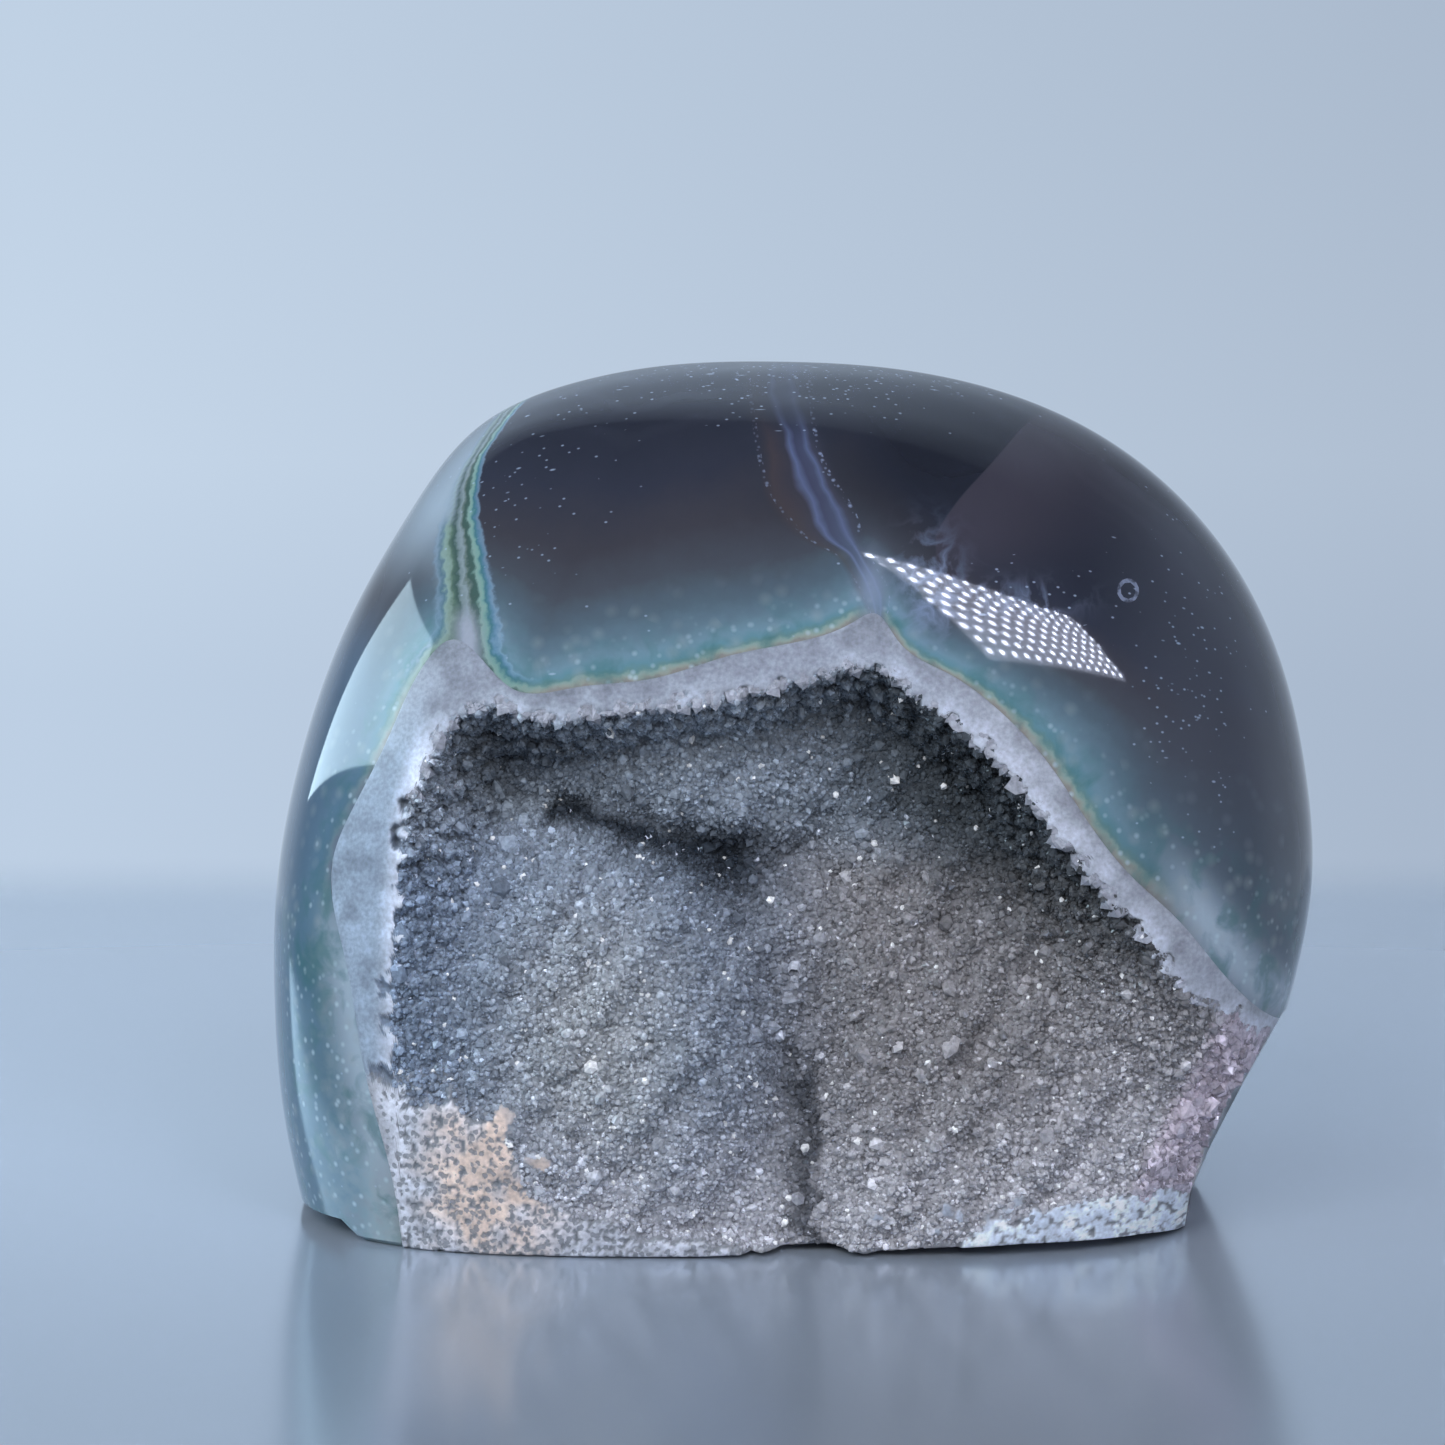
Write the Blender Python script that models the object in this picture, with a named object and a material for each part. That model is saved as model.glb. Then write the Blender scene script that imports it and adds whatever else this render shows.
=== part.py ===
"""Druzy agate freeform: a polished dome of dark agate, cut flat underneath, whose front opens on a
hollow lined with fine quartz crystals.

Two solids, in metres, +Z up, the front facing -Y and the origin at the middle of the flat base.
agate_stone is the polished stone with its hollow, and carries everything. druzy_crust is the quartz
that lines the hollow: its cut edge is the pale rim, flush with the polish, and its inner face is
covered with pointed crystals.
"""

import bmesh
import bpy
import math
import numpy as np

# The dome seen from the front, as x and height, from the left foot over the top to the right foot.
FRONT_OUTLINE = [
    (-0.0452, 0.0), (-0.0469, 0.009), (-0.0476, 0.019), (-0.0473, 0.030), (-0.0451, 0.0414),
    (-0.0412, 0.0525), (-0.0350, 0.0636), (-0.0290, 0.0710), (-0.0195, 0.0753), (-0.0110, 0.0768),
    (-0.0020, 0.0771), (0.0080, 0.0766), (0.0173, 0.0749), (0.0264, 0.0714), (0.0340, 0.0662),
    (0.0402, 0.0592), (0.0448, 0.0498), (0.0470, 0.0400), (0.0476, 0.0310), (0.0463, 0.0225),
    (0.0439, 0.0140), (0.0405, 0.0050), (0.0380, 0.0),
]
# The dome seen from the side, as y and height, from the front foot over the top to the back foot.
SIDE_OUTLINE = [
    (-0.0270, 0.0), (-0.0289, 0.010), (-0.0295, 0.022), (-0.0286, 0.036), (-0.0256, 0.049),
    (-0.0205, 0.0605), (-0.0130, 0.0703), (-0.0060, 0.0754), (0.0, 0.0771), (0.0065, 0.0754),
    (0.0140, 0.0703), (0.0215, 0.0605), (0.0266, 0.049), (0.0290, 0.036), (0.0295, 0.022),
    (0.0280, 0.010), (0.0250, 0.0),
]
FRONT_SQUARENESS = 3.3  # power of the plan's rounded outline at the foot, where 2 is an ellipse
BACK_SQUARENESS = 2.7
RING_COUNT = 20
RING_SIDES = 60
FOOT_BEVEL = 0.0005

# Where the quartz meets the agate on the polished front, as x and height.
CRUST_OUTLINE = [
    (-0.0345, -0.0030), (-0.0355, 0.0070), (-0.0377, 0.0160), (-0.0395, 0.0260), (-0.0408, 0.0335),
    (-0.0385, 0.0395), (-0.0355, 0.0455), (-0.0325, 0.0515), (-0.0300, 0.0536), (-0.0273, 0.0520),
    (-0.0243, 0.0496), (-0.0190, 0.0500), (-0.0125, 0.0508), (-0.0060, 0.0527), (0.0005, 0.0540),
    (0.0050, 0.0556), (0.0067, 0.0563), (0.0087, 0.0541), (0.0130, 0.0513), (0.0175, 0.0481),
    (0.0215, 0.0439), (0.0250, 0.0388), (0.0290, 0.0338), (0.0330, 0.0300), (0.0369, 0.0253),
    (0.0405, 0.0214), (0.0433, 0.0192), (0.0500, 0.0160),
]
# The inner edge of the flush rim, where the crystals start.
OPENING_OUTLINE = [
    (-0.0347, -0.0030), (-0.0348, 0.0100), (-0.0350, 0.0200), (-0.0345, 0.0290), (-0.0337, 0.0385),
    (-0.0320, 0.0440), (-0.0297, 0.0474), (-0.0270, 0.0487), (-0.0220, 0.0475), (-0.0170, 0.0481),
    (-0.0090, 0.0490), (0.0010, 0.0511), (0.0068, 0.0520), (0.0112, 0.0490), (0.0162, 0.0453),
    (0.0206, 0.0405), (0.0260, 0.0337), (0.0312, 0.0275), (0.0345, 0.0232), (0.0380, 0.0213),
    (0.0425, 0.0178), (0.0500, 0.0130),
]
# The uneven lower edge of the quartz, which clears the table along its right part.
CRUST_FOOT = [
    (0.0500, 0.0004), (0.0345, 0.0004), (0.0310, 0.0009), (0.0200, 0.0011), (0.0090, 0.0007),
    (0.0060, 0.0003), (0.0035, 0.0012), (-0.0010, 0.0011), (-0.0040, 0.0006), (-0.0090, 0.0002),
    (-0.0345, 0.0001),
]
# The corner that has broken away at the lower right: its edge in the plane BREAK_PLANE_Y, as x and
# height. It runs straight back from there along BREAK_RUN.
BREAK_OUTLINE = [
    (0.0700, 0.0225), (0.0447, 0.0221), (0.0432, 0.0205), (0.0399, 0.0144), (0.0370, 0.0085),
    (0.0352, 0.0041), (0.0350, 0.0016), (0.0340, -0.0040), (0.0700, -0.0040),
]
BREAK_PLANE_Y = -0.020
BREAK_RUN = (0.130, 1.0, -0.225)

# How the lining falls away behind the polished front.
WALL_SLOPE_LOW = 0.35  # depth gained for each metre in from the rim, at the foot
WALL_SLOPE_HIGH = 2.2  # the same under the top of the rim
WALL_SLOPE_FROM = 0.018  # heights between which the slope goes from the one to the other
WALL_SLOPE_TO = 0.046
RIM_PROUD_SLOPE = 2.0  # outside the opening the raw crust stands proud, and the polish takes it off
MOST_PROUD = 0.006
FLOOR_DEPTH_LOW = 0.0075
FLOOR_DEPTH_HIGH = 0.0150
LOBE_BLEND = 0.0014  # how softly the lobes run together

CRUST_THICKNESS = 0.0034
CRUST_LIP = 0.0018  # thickness of the crust straight behind its outline
CLEARANCE = 0.0003  # gap between the crust and the stone

CRYSTAL_PITCH = 0.0026
CRYSTAL_RISE = 0.0010
CRYSTAL_SHIFT = 0.22  # how far a tip wanders, as a share of the pitch
CRYSTAL_SEED = 11
MOST_STRETCH = 1.8  # how much further forward a tip is moved where the lining is steep
WALL_GRID = 0.0040  # spacing of the points on the hollow's wall
FIELD = ((-0.045, 0.051), (-0.006, 0.062))  # x and height that the lining is worked out over

IN_FRONT = -0.045  # y of the planes that close the cutters
BEHIND = 0.010


def clear_scene():
    for old in list(bpy.data.objects):
        bpy.data.objects.remove(old, do_unlink=True)


def natural_cubic(points, steps):
    """The smooth curve through the points: a natural cubic spline on their chord length, read at
    `steps` places between each pair."""
    knots = np.array(points, float)
    gaps = np.linalg.norm(np.diff(knots, axis=0), axis=1)
    place = np.concatenate([[0.0], np.cumsum(gaps)])
    count = len(knots)
    matrix = np.zeros((count, count))
    wanted = np.zeros(knots.shape)
    matrix[0, 0] = 1.0
    matrix[-1, -1] = 1.0
    for i in range(1, count - 1):
        matrix[i, i - 1 : i + 2] = gaps[i - 1], 2 * (gaps[i - 1] + gaps[i]), gaps[i]
        slope_after = (knots[i + 1] - knots[i]) / gaps[i]
        slope_before = (knots[i] - knots[i - 1]) / gaps[i - 1]
        wanted[i] = 6 * (slope_after - slope_before)
    bend = np.linalg.solve(matrix, wanted)
    at = np.linspace(0.0, place[-1], steps * (count - 1) + 1)
    i = np.clip(np.searchsorted(place, at, side="right") - 1, 0, count - 2)
    a = ((place[i + 1] - at) / gaps[i])[:, None]
    b = ((at - place[i]) / gaps[i])[:, None]
    curve = (a**3 - a) * bend[i] + (b**3 - b) * bend[i + 1]
    return a * knots[i] + b * knots[i + 1] + curve * (gaps[i] ** 2)[:, None] / 6


def centred_halves(outline):
    """The outline's two sides as (height, place) tables, each rising, with its widest span centred."""
    curve = natural_cubic(outline, 40)
    curve[:, 0] -= (curve[:, 0].min() + curve[:, 0].max()) / 2
    top = int(curve[:, 1].argmax())
    return curve[: top + 1, ::-1], curve[top:][::-1, ::-1]


LEFT, RIGHT = centred_halves(FRONT_OUTLINE)
FRONT, BACK = centred_halves(SIDE_OUTLINE)
TOP = float(LEFT[-1, 0])
APEX_Y = float(FRONT[-1, 1])


def read_half(half, height):
    return np.interp(np.asarray(height) * half[-1, 0] / TOP, half[:, 0], half[:, 1])


def squareness(height, full):
    """The plan is a rounded rectangle at the foot and an ellipse at the top."""
    share = np.clip(np.asarray(height) / TOP, 0.0, 1.0)
    return 2.0 + (full - 2.0) * (1.0 - share**2)


def dome_ring(height, inset):
    """One level section of the dome: |x/a|^n + |y/b|^n = 1 about the section's middle."""
    turn = np.linspace(0.0, 2 * math.pi, RING_SIDES, endpoint=False)
    left = read_half(LEFT, height) + inset
    right = read_half(RIGHT, height) - inset
    middle_y = APEX_Y * height / TOP
    half_width = (right - left) / 2
    cos, sin = np.cos(turn), np.sin(turn)
    reach_front = middle_y - read_half(FRONT, height) - inset
    reach_back = read_half(BACK, height) - inset - middle_y
    reach = np.where(sin < 0, reach_front, reach_back)
    full = np.where(sin < 0, FRONT_SQUARENESS, BACK_SQUARENESS)
    power = squareness(height, full)
    radius = ((np.abs(cos) / half_width) ** power + (np.abs(sin) / reach) ** power) ** (-1 / power)
    x = (left + right) / 2 + radius * cos
    return np.stack([x, middle_y + radius * sin, np.full_like(turn, height)], axis=1)


def dome_front(x, height):
    """y of the dome's polished front at x and height."""
    height = np.clip(height, 0.0, TOP * 0.9999)
    left, right = read_half(LEFT, height), read_half(RIGHT, height)
    middle_y = APEX_Y * height / TOP
    power = squareness(height, FRONT_SQUARENESS)
    across = np.clip(np.abs(x - (left + right) / 2) / ((right - left) / 2), 0.0, 0.995)
    return middle_y - (middle_y - read_half(FRONT, height)) * (1 - across**power) ** (1 / power)


def smooth_step(low, high, value):
    share = np.clip((value - low) / (high - low), 0.0, 1.0)
    return share * share * (3 - 2 * share)


def soft_min(a, b, blend):
    """The smaller of a and b, rounded where they cross."""
    near = np.clip(0.5 + 0.5 * (b - a) / blend, 0.0, 1.0)
    return b + (a - b) * near - blend * near * (1 - near)


def distance_in(x, z, outline):
    """Distance in the front view from an open outline, positive on the side below and within it."""
    line = natural_cubic(outline, 4)
    starts, ends = line[:-1], line[1:]
    span = ends - starts
    dx = x[:, None] - starts[:, 0]
    dz = z[:, None] - starts[:, 1]
    share = (dx * span[:, 0] + dz * span[:, 1]) / (span**2).sum(axis=1)
    share = np.clip(share, 0.0, 1.0)
    away = np.hypot(dx - share * span[:, 0], dz - share * span[:, 1]).min(axis=1)
    below = np.array([(0.060, line[-1, 1]), (0.060, -0.05), (line[0, 0], -0.05)])
    loop = np.concatenate([line, below])
    following = np.roll(loop, -1, axis=0)
    crosses = (loop[:, 1] > z[:, None]) != (following[:, 1] > z[:, None])
    rise = following[:, 1] - loop[:, 1]
    rise = np.where(rise == 0.0, 1e-12, rise)
    meets = loop[:, 0] + (z[:, None] - loop[:, 1]) * (following[:, 0] - loop[:, 0]) / rise
    inside = ((crosses & (x[:, None] < meets)).sum(axis=1) % 2) == 1
    return np.where(inside, away, -away)


def lobe_depth(x, z):
    """Depth of the crust's lobes behind the polished front: a broad swelling at the lower left, with
    a patch ground flush, a slope at the right that ends in a sharp left edge, a bulge set back above
    them, and the floor that shows in the clefts between."""
    floor = FLOOR_DEPTH_LOW + (FLOOR_DEPTH_HIGH - FLOOR_DEPTH_LOW) * smooth_step(0.026, 0.040, z)
    left_reach = np.hypot((x + 0.0190) / 0.0200, (z - 0.0140) / 0.0250)
    left_lobe = 0.0013 + 0.0110 * np.minimum(left_reach, 1.3) ** 5
    right_reach = np.maximum((0.0190 - x) / 0.0182, 0.0)
    right_lobe = 0.0004 + 0.24 * np.maximum(z - 0.0040, 0.0)
    right_lobe = right_lobe + 0.0080 * np.minimum(right_reach, 1.3) ** 7
    upper_reach = np.hypot((x + 0.0040) / 0.0230, (z - 0.0440) / 0.0110)
    upper_lobe = 0.0088 + 0.0050 * np.minimum(upper_reach, 1.6) ** 3
    depth = soft_min(floor, left_lobe, LOBE_BLEND)
    depth = soft_min(depth, right_lobe, LOBE_BLEND)
    depth = soft_min(depth, upper_lobe, LOBE_BLEND)
    ground = np.exp(-(((x + 0.0275) / 0.0060) ** 2) - ((z - 0.0060) / 0.0080) ** 2)
    depth = depth - np.minimum(0.0013 * 1.4 * ground, depth)
    swell = 0.00045 * np.sin(x * 610 + 1.3) * np.sin(z * 540 + 0.4)
    return depth + swell + 0.00035 * np.sin(x * 1130 - z * 870)


def wall_slope(z):
    share = smooth_step(WALL_SLOPE_FROM, WALL_SLOPE_TO, z)
    return WALL_SLOPE_LOW + (WALL_SLOPE_HIGH - WALL_SLOPE_LOW) * share


def lining_y(x, z):
    """y of the crust's inner face before its crystals."""
    inward = distance_in(x, z, OPENING_OUTLINE)
    wall = np.where(inward > 0, wall_slope(z) * inward, RIM_PROUD_SLOPE * inward)
    depth = soft_min(lobe_depth(x, z), wall, LOBE_BLEND / 2)
    return dome_front(x, z) + np.maximum(depth, -MOST_PROUD)


def hollow_y(x, z, gap):
    """y of the crust's outer face, or with a gap that of the hollow's wall behind it."""
    inward = distance_in(x, z, CRUST_OUTLINE)
    wall = CRUST_LIP + wall_slope(z) * inward
    depth = soft_min(lobe_depth(x, z) + CRUST_THICKNESS, wall, LOBE_BLEND)
    depth = np.maximum(depth, -MOST_PROUD) + gap * np.sqrt(1 + wall_slope(z) ** 2)
    return dome_front(x, z) + depth


def close_to_plane(points, faces, plane_y, name):
    """A surface seen from the front made into a closed solid: its edge runs to a plane at plane_y,
    and one flat face closes it there."""
    mesh = bmesh.new()
    corners = [mesh.verts.new(point) for point in points]
    for face in faces:
        mesh.faces.new([corners[i] for i in face])
    loose = [corner for corner in mesh.verts if not corner.link_faces]
    bmesh.ops.delete(mesh, geom=loose, context="VERTS")
    edge = [side for side in mesh.edges if side.is_boundary]
    made = bmesh.ops.extrude_edge_only(mesh, edges=edge)["geom"]
    for item in made:
        if isinstance(item, bmesh.types.BMVert):
            item.co.y = plane_y
    far_edge = [item for item in made if isinstance(item, bmesh.types.BMEdge) and item.is_boundary]
    bmesh.ops.contextual_create(mesh, geom=far_edge)
    return new_object(name, mesh)


def new_object(name, mesh):
    """Adds a closed mesh to the scene, with its faces turned outward."""
    bmesh.ops.recalc_face_normals(mesh, faces=mesh.faces)
    if mesh.calc_volume(signed=True) < 0:
        bmesh.ops.reverse_faces(mesh, faces=mesh.faces)
    data = bpy.data.meshes.new(name)
    mesh.to_mesh(data)
    mesh.free()
    made = bpy.data.objects.new(name, data)
    bpy.context.scene.collection.objects.link(made)
    return made


def prism(name, loop, start_y, end_y, run=(0.0, 1.0, 0.0)):
    """A solid of one outline in x and height, swept from start_y to end_y along run. The outline's
    own plane is BREAK_PLANE_Y where the run slants."""
    mesh = bmesh.new()
    ends = []
    for y in (start_y, end_y):
        shift = y - BREAK_PLANE_Y
        ends.append([mesh.verts.new((x + run[0] * shift, y, z + run[2] * shift)) for x, z in loop])
    near, far = ends
    mesh.faces.new(near)
    mesh.faces.new(far)
    for i in range(len(loop)):
        j = (i + 1) % len(loop)
        mesh.faces.new((near[i], near[j], far[j], far[i]))
    return new_object(name, mesh)


def dome(name):
    """The polished stone before its hollow is cut."""
    mesh = bmesh.new()
    turns = np.linspace(0.0, math.pi / 2, RING_COUNT + 1)[1:-1]
    heights = [(0.0, FOOT_BEVEL), (FOOT_BEVEL, 0.0)]
    heights += [(float(TOP * math.sin(turn)), 0.0) for turn in turns]
    rings = []
    for height, inset in heights:
        rings.append([mesh.verts.new(point) for point in dome_ring(height, inset)])
    apex = mesh.verts.new((float(LEFT[-1, 1]), APEX_Y, TOP))
    mesh.faces.new(rings[0])
    for lower, upper in zip(rings, rings[1:]):
        for i in range(RING_SIDES):
            j = (i + 1) % RING_SIDES
            mesh.faces.new((lower[i], lower[j], upper[j], upper[i]))
    for i in range(RING_SIDES):
        mesh.faces.new((rings[-1][i], rings[-1][(i + 1) % RING_SIDES], apex))
    for face in mesh.faces:
        face.smooth = True
    return new_object(name, mesh)


def crystal_field():
    """The crust's inner face: a honeycomb whose cells are six-sided points, each tip raised and
    wandering a little. Returns points and triangles."""
    (x_low, x_high), (z_low, z_high) = FIELD
    rows = int((z_high - z_low) / (CRYSTAL_PITCH * math.sqrt(3) / 2))
    columns = int((x_high - x_low) / CRYSTAL_PITCH)
    column, row = np.meshgrid(np.arange(columns), np.arange(rows))
    x = x_low + (column + 0.5 * (row % 2)).ravel() * CRYSTAL_PITCH
    z = z_low + row.ravel() * CRYSTAL_PITCH * math.sqrt(3) / 2
    tips = np.stack([x, z], axis=1)
    turn = math.pi / 6 + np.arange(6) * math.pi / 3
    star = np.stack([np.cos(turn), np.sin(turn)], axis=1) * CRYSTAL_PITCH / math.sqrt(3)
    around = (tips[:, None, :] + star).reshape(-1, 2)
    lattice = (CRYSTAL_PITCH / 2, CRYSTAL_PITCH / (2 * math.sqrt(3)))
    keys = np.round((around - (x_low, z_low)) / lattice).astype(int)
    _, first, index = np.unique(keys, axis=0, return_index=True, return_inverse=True)
    valleys = around[first]
    index = index.reshape(-1, 6) + len(tips)
    chance = np.random.default_rng(CRYSTAL_SEED)
    tips = tips + chance.uniform(-1, 1, tips.shape) * CRYSTAL_PITCH * CRYSTAL_SHIFT
    valleys = valleys + chance.uniform(-1, 1, valleys.shape) * CRYSTAL_PITCH * CRYSTAL_SHIFT / 2
    rise = CRYSTAL_RISE * chance.uniform(0.45, 1.35, len(tips))
    dip = -CRYSTAL_RISE * chance.uniform(0.0, 0.35, len(valleys))
    flat = np.concatenate([tips, valleys])
    points = raise_from_lining(flat[:, 0], flat[:, 1], np.concatenate([rise, dip]))
    centre = np.arange(len(tips))
    faces = [(centre, index[:, k], index[:, (k + 1) % 6]) for k in range(6)]
    return points, np.concatenate([np.stack(face, axis=1) for face in faces])


def raise_from_lining(x, z, rise):
    """Points that stand off the lining by `rise`, moved towards the front, and further where the
    lining is steep, so that a crystal is as tall there."""
    step = 0.0004
    slope_x = (lining_y(x + step, z) - lining_y(x - step, z)) / (2 * step)
    slope_z = (lining_y(x, z + step) - lining_y(x, z - step)) / (2 * step)
    steepness = np.minimum(np.sqrt(1 + slope_x**2 + slope_z**2), MOST_STRETCH)
    return np.stack([x, lining_y(x, z) - rise * steepness, z], axis=1)


def wall_field(gap):
    """The back of the crust, or with a gap the wall of the hollow, as a grid of triangles."""
    (x_low, x_high), (z_low, z_high) = FIELD
    across = np.arange(x_low, x_high, WALL_GRID)
    up = np.arange(z_low, z_high, WALL_GRID)
    x, z = (values.ravel() for values in np.meshgrid(across, up))
    points = np.stack([x, hollow_y(x, z, gap), z], axis=1)
    index = np.arange(len(points)).reshape(len(up), len(across))
    low_left, low_right = index[:-1, :-1].ravel(), index[:-1, 1:].ravel()
    high_right, high_left = index[1:, 1:].ravel(), index[1:, :-1].ravel()
    below = np.stack([low_left, low_right, high_right], axis=1)
    above = np.stack([low_left, high_right, high_left], axis=1)
    return points, np.concatenate([below, above])


def outline_loop(foot, offset):
    """The crust's outline in the front view, moved out by offset and closed along its foot."""
    line = natural_cubic(CRUST_OUTLINE, 2)
    along = np.gradient(line, axis=0)
    along /= np.linalg.norm(along, axis=1, keepdims=True)
    outward = np.stack([-along[:, 1], along[:, 0]], axis=1)
    line = line + outward * offset
    line = line[line[:, 1] > foot[-1][1] + offset]
    return [tuple(map(float, point)) for point in line] + foot


def add_boolean(target, operation, other):
    step = target.modifiers.new(f"{operation.lower()} {other.name}", "BOOLEAN")
    step.operation = operation
    step.solver = "EXACT"
    step.object = other


def as_guide(helper):
    helper.hide_render = True
    helper.display_type = "WIRE"
    return helper


def finish_of(target, name, colour, roughness):
    material = bpy.data.materials.new(name)
    material.use_nodes = True
    shader = material.node_tree.nodes["Principled BSDF"]
    shader.inputs["Base Color"].default_value = (*colour, 1.0)
    shader.inputs["Roughness"].default_value = roughness
    shader.inputs["Metallic"].default_value = 0.0
    target.data.materials.clear()
    target.data.materials.append(material)


def make_break():
    return as_guide(prism("broken_corner", BREAK_OUTLINE, IN_FRONT, -IN_FRONT, BREAK_RUN))


def make_stone(broken_corner):
    """The agate: the dome less the hollow and the broken corner."""
    wall = as_guide(close_to_plane(*wall_field(CLEARANCE), IN_FRONT, "hollow_room"))
    low_foot = [(0.050, -0.003), (-0.0345 - CLEARANCE, -0.003)]
    outline = as_guide(prism("hollow_mouth", outline_loop(low_foot, CLEARANCE), IN_FRONT, BEHIND))
    add_boolean(outline, "INTERSECT", wall)
    stone = dome("agate_stone")
    add_boolean(stone, "DIFFERENCE", outline)
    add_boolean(stone, "DIFFERENCE", broken_corner)
    finish_of(stone, "polished dark agate", (0.030, 0.034, 0.042), 0.08)


def make_crust(broken_corner):
    """The quartz: what lies behind the crystals, before the hollow's wall, inside the dome."""
    room = as_guide(close_to_plane(*wall_field(0.0), IN_FRONT, "crust_back"))
    outline = as_guide(prism("crust_edge", outline_loop(CRUST_FOOT, 0.0), IN_FRONT, BEHIND))
    polish = as_guide(dome("crust_polish"))
    crust = close_to_plane(*crystal_field(), BEHIND, "druzy_crust")
    add_boolean(crust, "INTERSECT", room)
    add_boolean(crust, "INTERSECT", outline)
    add_boolean(crust, "INTERSECT", polish)
    add_boolean(crust, "DIFFERENCE", broken_corner)
    finish_of(crust, "grey druzy quartz", (0.42, 0.42, 0.43), 0.35)


def main():
    clear_scene()
    broken_corner = make_break()
    make_stone(broken_corner)
    make_crust(broken_corner)


main()
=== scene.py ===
"""Druzy agate freeform, its looks: a dome of dark polished agate, cut flat underneath, whose front
opens on a hollow lined with fine quartz crystals.

Lengths are metres, +Z is up and the front faces -Y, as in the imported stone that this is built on.
The polished stone stands for agate_stone. The crust, its druse of crystals and the cut crystals along
the rim stand for druzy_crust. Every shape is worked out from the stone's outlines, which are given as
x and height in the front view.
"""

import math

import bmesh
import bpy
import numpy as np
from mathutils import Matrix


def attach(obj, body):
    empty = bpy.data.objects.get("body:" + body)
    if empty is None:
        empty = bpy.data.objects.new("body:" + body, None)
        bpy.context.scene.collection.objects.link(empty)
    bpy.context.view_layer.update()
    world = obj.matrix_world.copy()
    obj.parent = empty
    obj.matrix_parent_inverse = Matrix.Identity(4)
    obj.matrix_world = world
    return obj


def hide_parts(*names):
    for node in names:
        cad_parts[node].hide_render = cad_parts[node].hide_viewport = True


bl_info = {
    "name": "Druzy agate freeform",
    "version": (1, 0, 0),
    "blender": (4, 5, 0),
    "location": "3D View > Sidebar > Agate",
    "description": "Adds a polished druzy agate freeform and the table it stands on",
    "category": "Add Mesh",
}

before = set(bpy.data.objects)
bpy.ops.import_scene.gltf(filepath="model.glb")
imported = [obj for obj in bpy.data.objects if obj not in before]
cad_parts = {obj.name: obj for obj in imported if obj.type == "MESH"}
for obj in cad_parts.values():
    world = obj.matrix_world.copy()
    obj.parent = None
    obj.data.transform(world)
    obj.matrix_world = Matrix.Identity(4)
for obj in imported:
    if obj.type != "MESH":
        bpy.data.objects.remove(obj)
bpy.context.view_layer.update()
MM = 0.001
QUARTZ_IOR = 1.54
BLACK = (0.0, 0.0, 0.0, 1.0)
# What add_node is told for a node that mixes two colours. A texture's scale is its cells to the
# metre, so that 1000 is a pattern of 1 mm.
MIX_COLOURS = {"out": 2, "data_type": "RGBA"}

# The dome seen from the front, as x and height, from the left foot over the top to the right foot.
FRONT_OUTLINE = [
    (-0.0452, 0.0), (-0.0469, 0.009), (-0.0476, 0.019), (-0.0473, 0.030), (-0.0451, 0.0414),
    (-0.0412, 0.0525), (-0.0350, 0.0636), (-0.0290, 0.0710), (-0.0195, 0.0753), (-0.0110, 0.0768),
    (-0.0020, 0.0771), (0.0080, 0.0766), (0.0173, 0.0749), (0.0264, 0.0714), (0.0340, 0.0662),
    (0.0402, 0.0592), (0.0448, 0.0498), (0.0470, 0.0400), (0.0476, 0.0310), (0.0463, 0.0225),
    (0.0439, 0.0140), (0.0405, 0.0050), (0.0380, 0.0),
]
# The dome seen from the side, as y and height, from the front foot over the top to the back foot.
SIDE_OUTLINE = [
    (-0.0270, 0.0), (-0.0289, 0.010), (-0.0295, 0.022), (-0.0286, 0.036), (-0.0256, 0.049),
    (-0.0205, 0.0605), (-0.0130, 0.0703), (-0.0060, 0.0754), (0.0, 0.0771), (0.0065, 0.0754),
    (0.0140, 0.0703), (0.0215, 0.0605), (0.0266, 0.049), (0.0290, 0.036), (0.0295, 0.022),
    (0.0280, 0.010), (0.0250, 0.0),
]
FRONT_SQUARENESS = 3.3  # power of the plan's rounded outline at the foot, where 2 is an ellipse
BACK_SQUARENESS = 2.7
FOOT_BEVEL = 0.0005

# Where the quartz meets the agate on the polished front.
CRUST_OUTLINE = [
    (-0.0345, -0.0030), (-0.0355, 0.0070), (-0.0377, 0.0160), (-0.0395, 0.0260), (-0.0408, 0.0335),
    (-0.0385, 0.0395), (-0.0355, 0.0455), (-0.0325, 0.0515), (-0.0300, 0.0536), (-0.0273, 0.0520),
    (-0.0243, 0.0496), (-0.0190, 0.0500), (-0.0125, 0.0508), (-0.0060, 0.0527), (0.0005, 0.0540),
    (0.0050, 0.0556), (0.0067, 0.0563), (0.0087, 0.0541), (0.0130, 0.0513), (0.0175, 0.0481),
    (0.0215, 0.0439), (0.0250, 0.0388), (0.0290, 0.0338), (0.0330, 0.0300), (0.0369, 0.0253),
    (0.0405, 0.0214), (0.0433, 0.0192), (0.0500, 0.0160),
]
# The inner edge of the rim that was cut flush, where the crystals start.
OPENING_OUTLINE = [
    (-0.0347, -0.0030), (-0.0348, 0.0100), (-0.0350, 0.0200), (-0.0345, 0.0290), (-0.0337, 0.0385),
    (-0.0320, 0.0440), (-0.0297, 0.0474), (-0.0270, 0.0487), (-0.0220, 0.0475), (-0.0170, 0.0481),
    (-0.0090, 0.0490), (0.0010, 0.0511), (0.0068, 0.0520), (0.0112, 0.0490), (0.0162, 0.0453),
    (0.0206, 0.0405), (0.0260, 0.0337), (0.0312, 0.0275), (0.0345, 0.0232), (0.0380, 0.0213),
    (0.0425, 0.0178), (0.0500, 0.0130),
]
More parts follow.
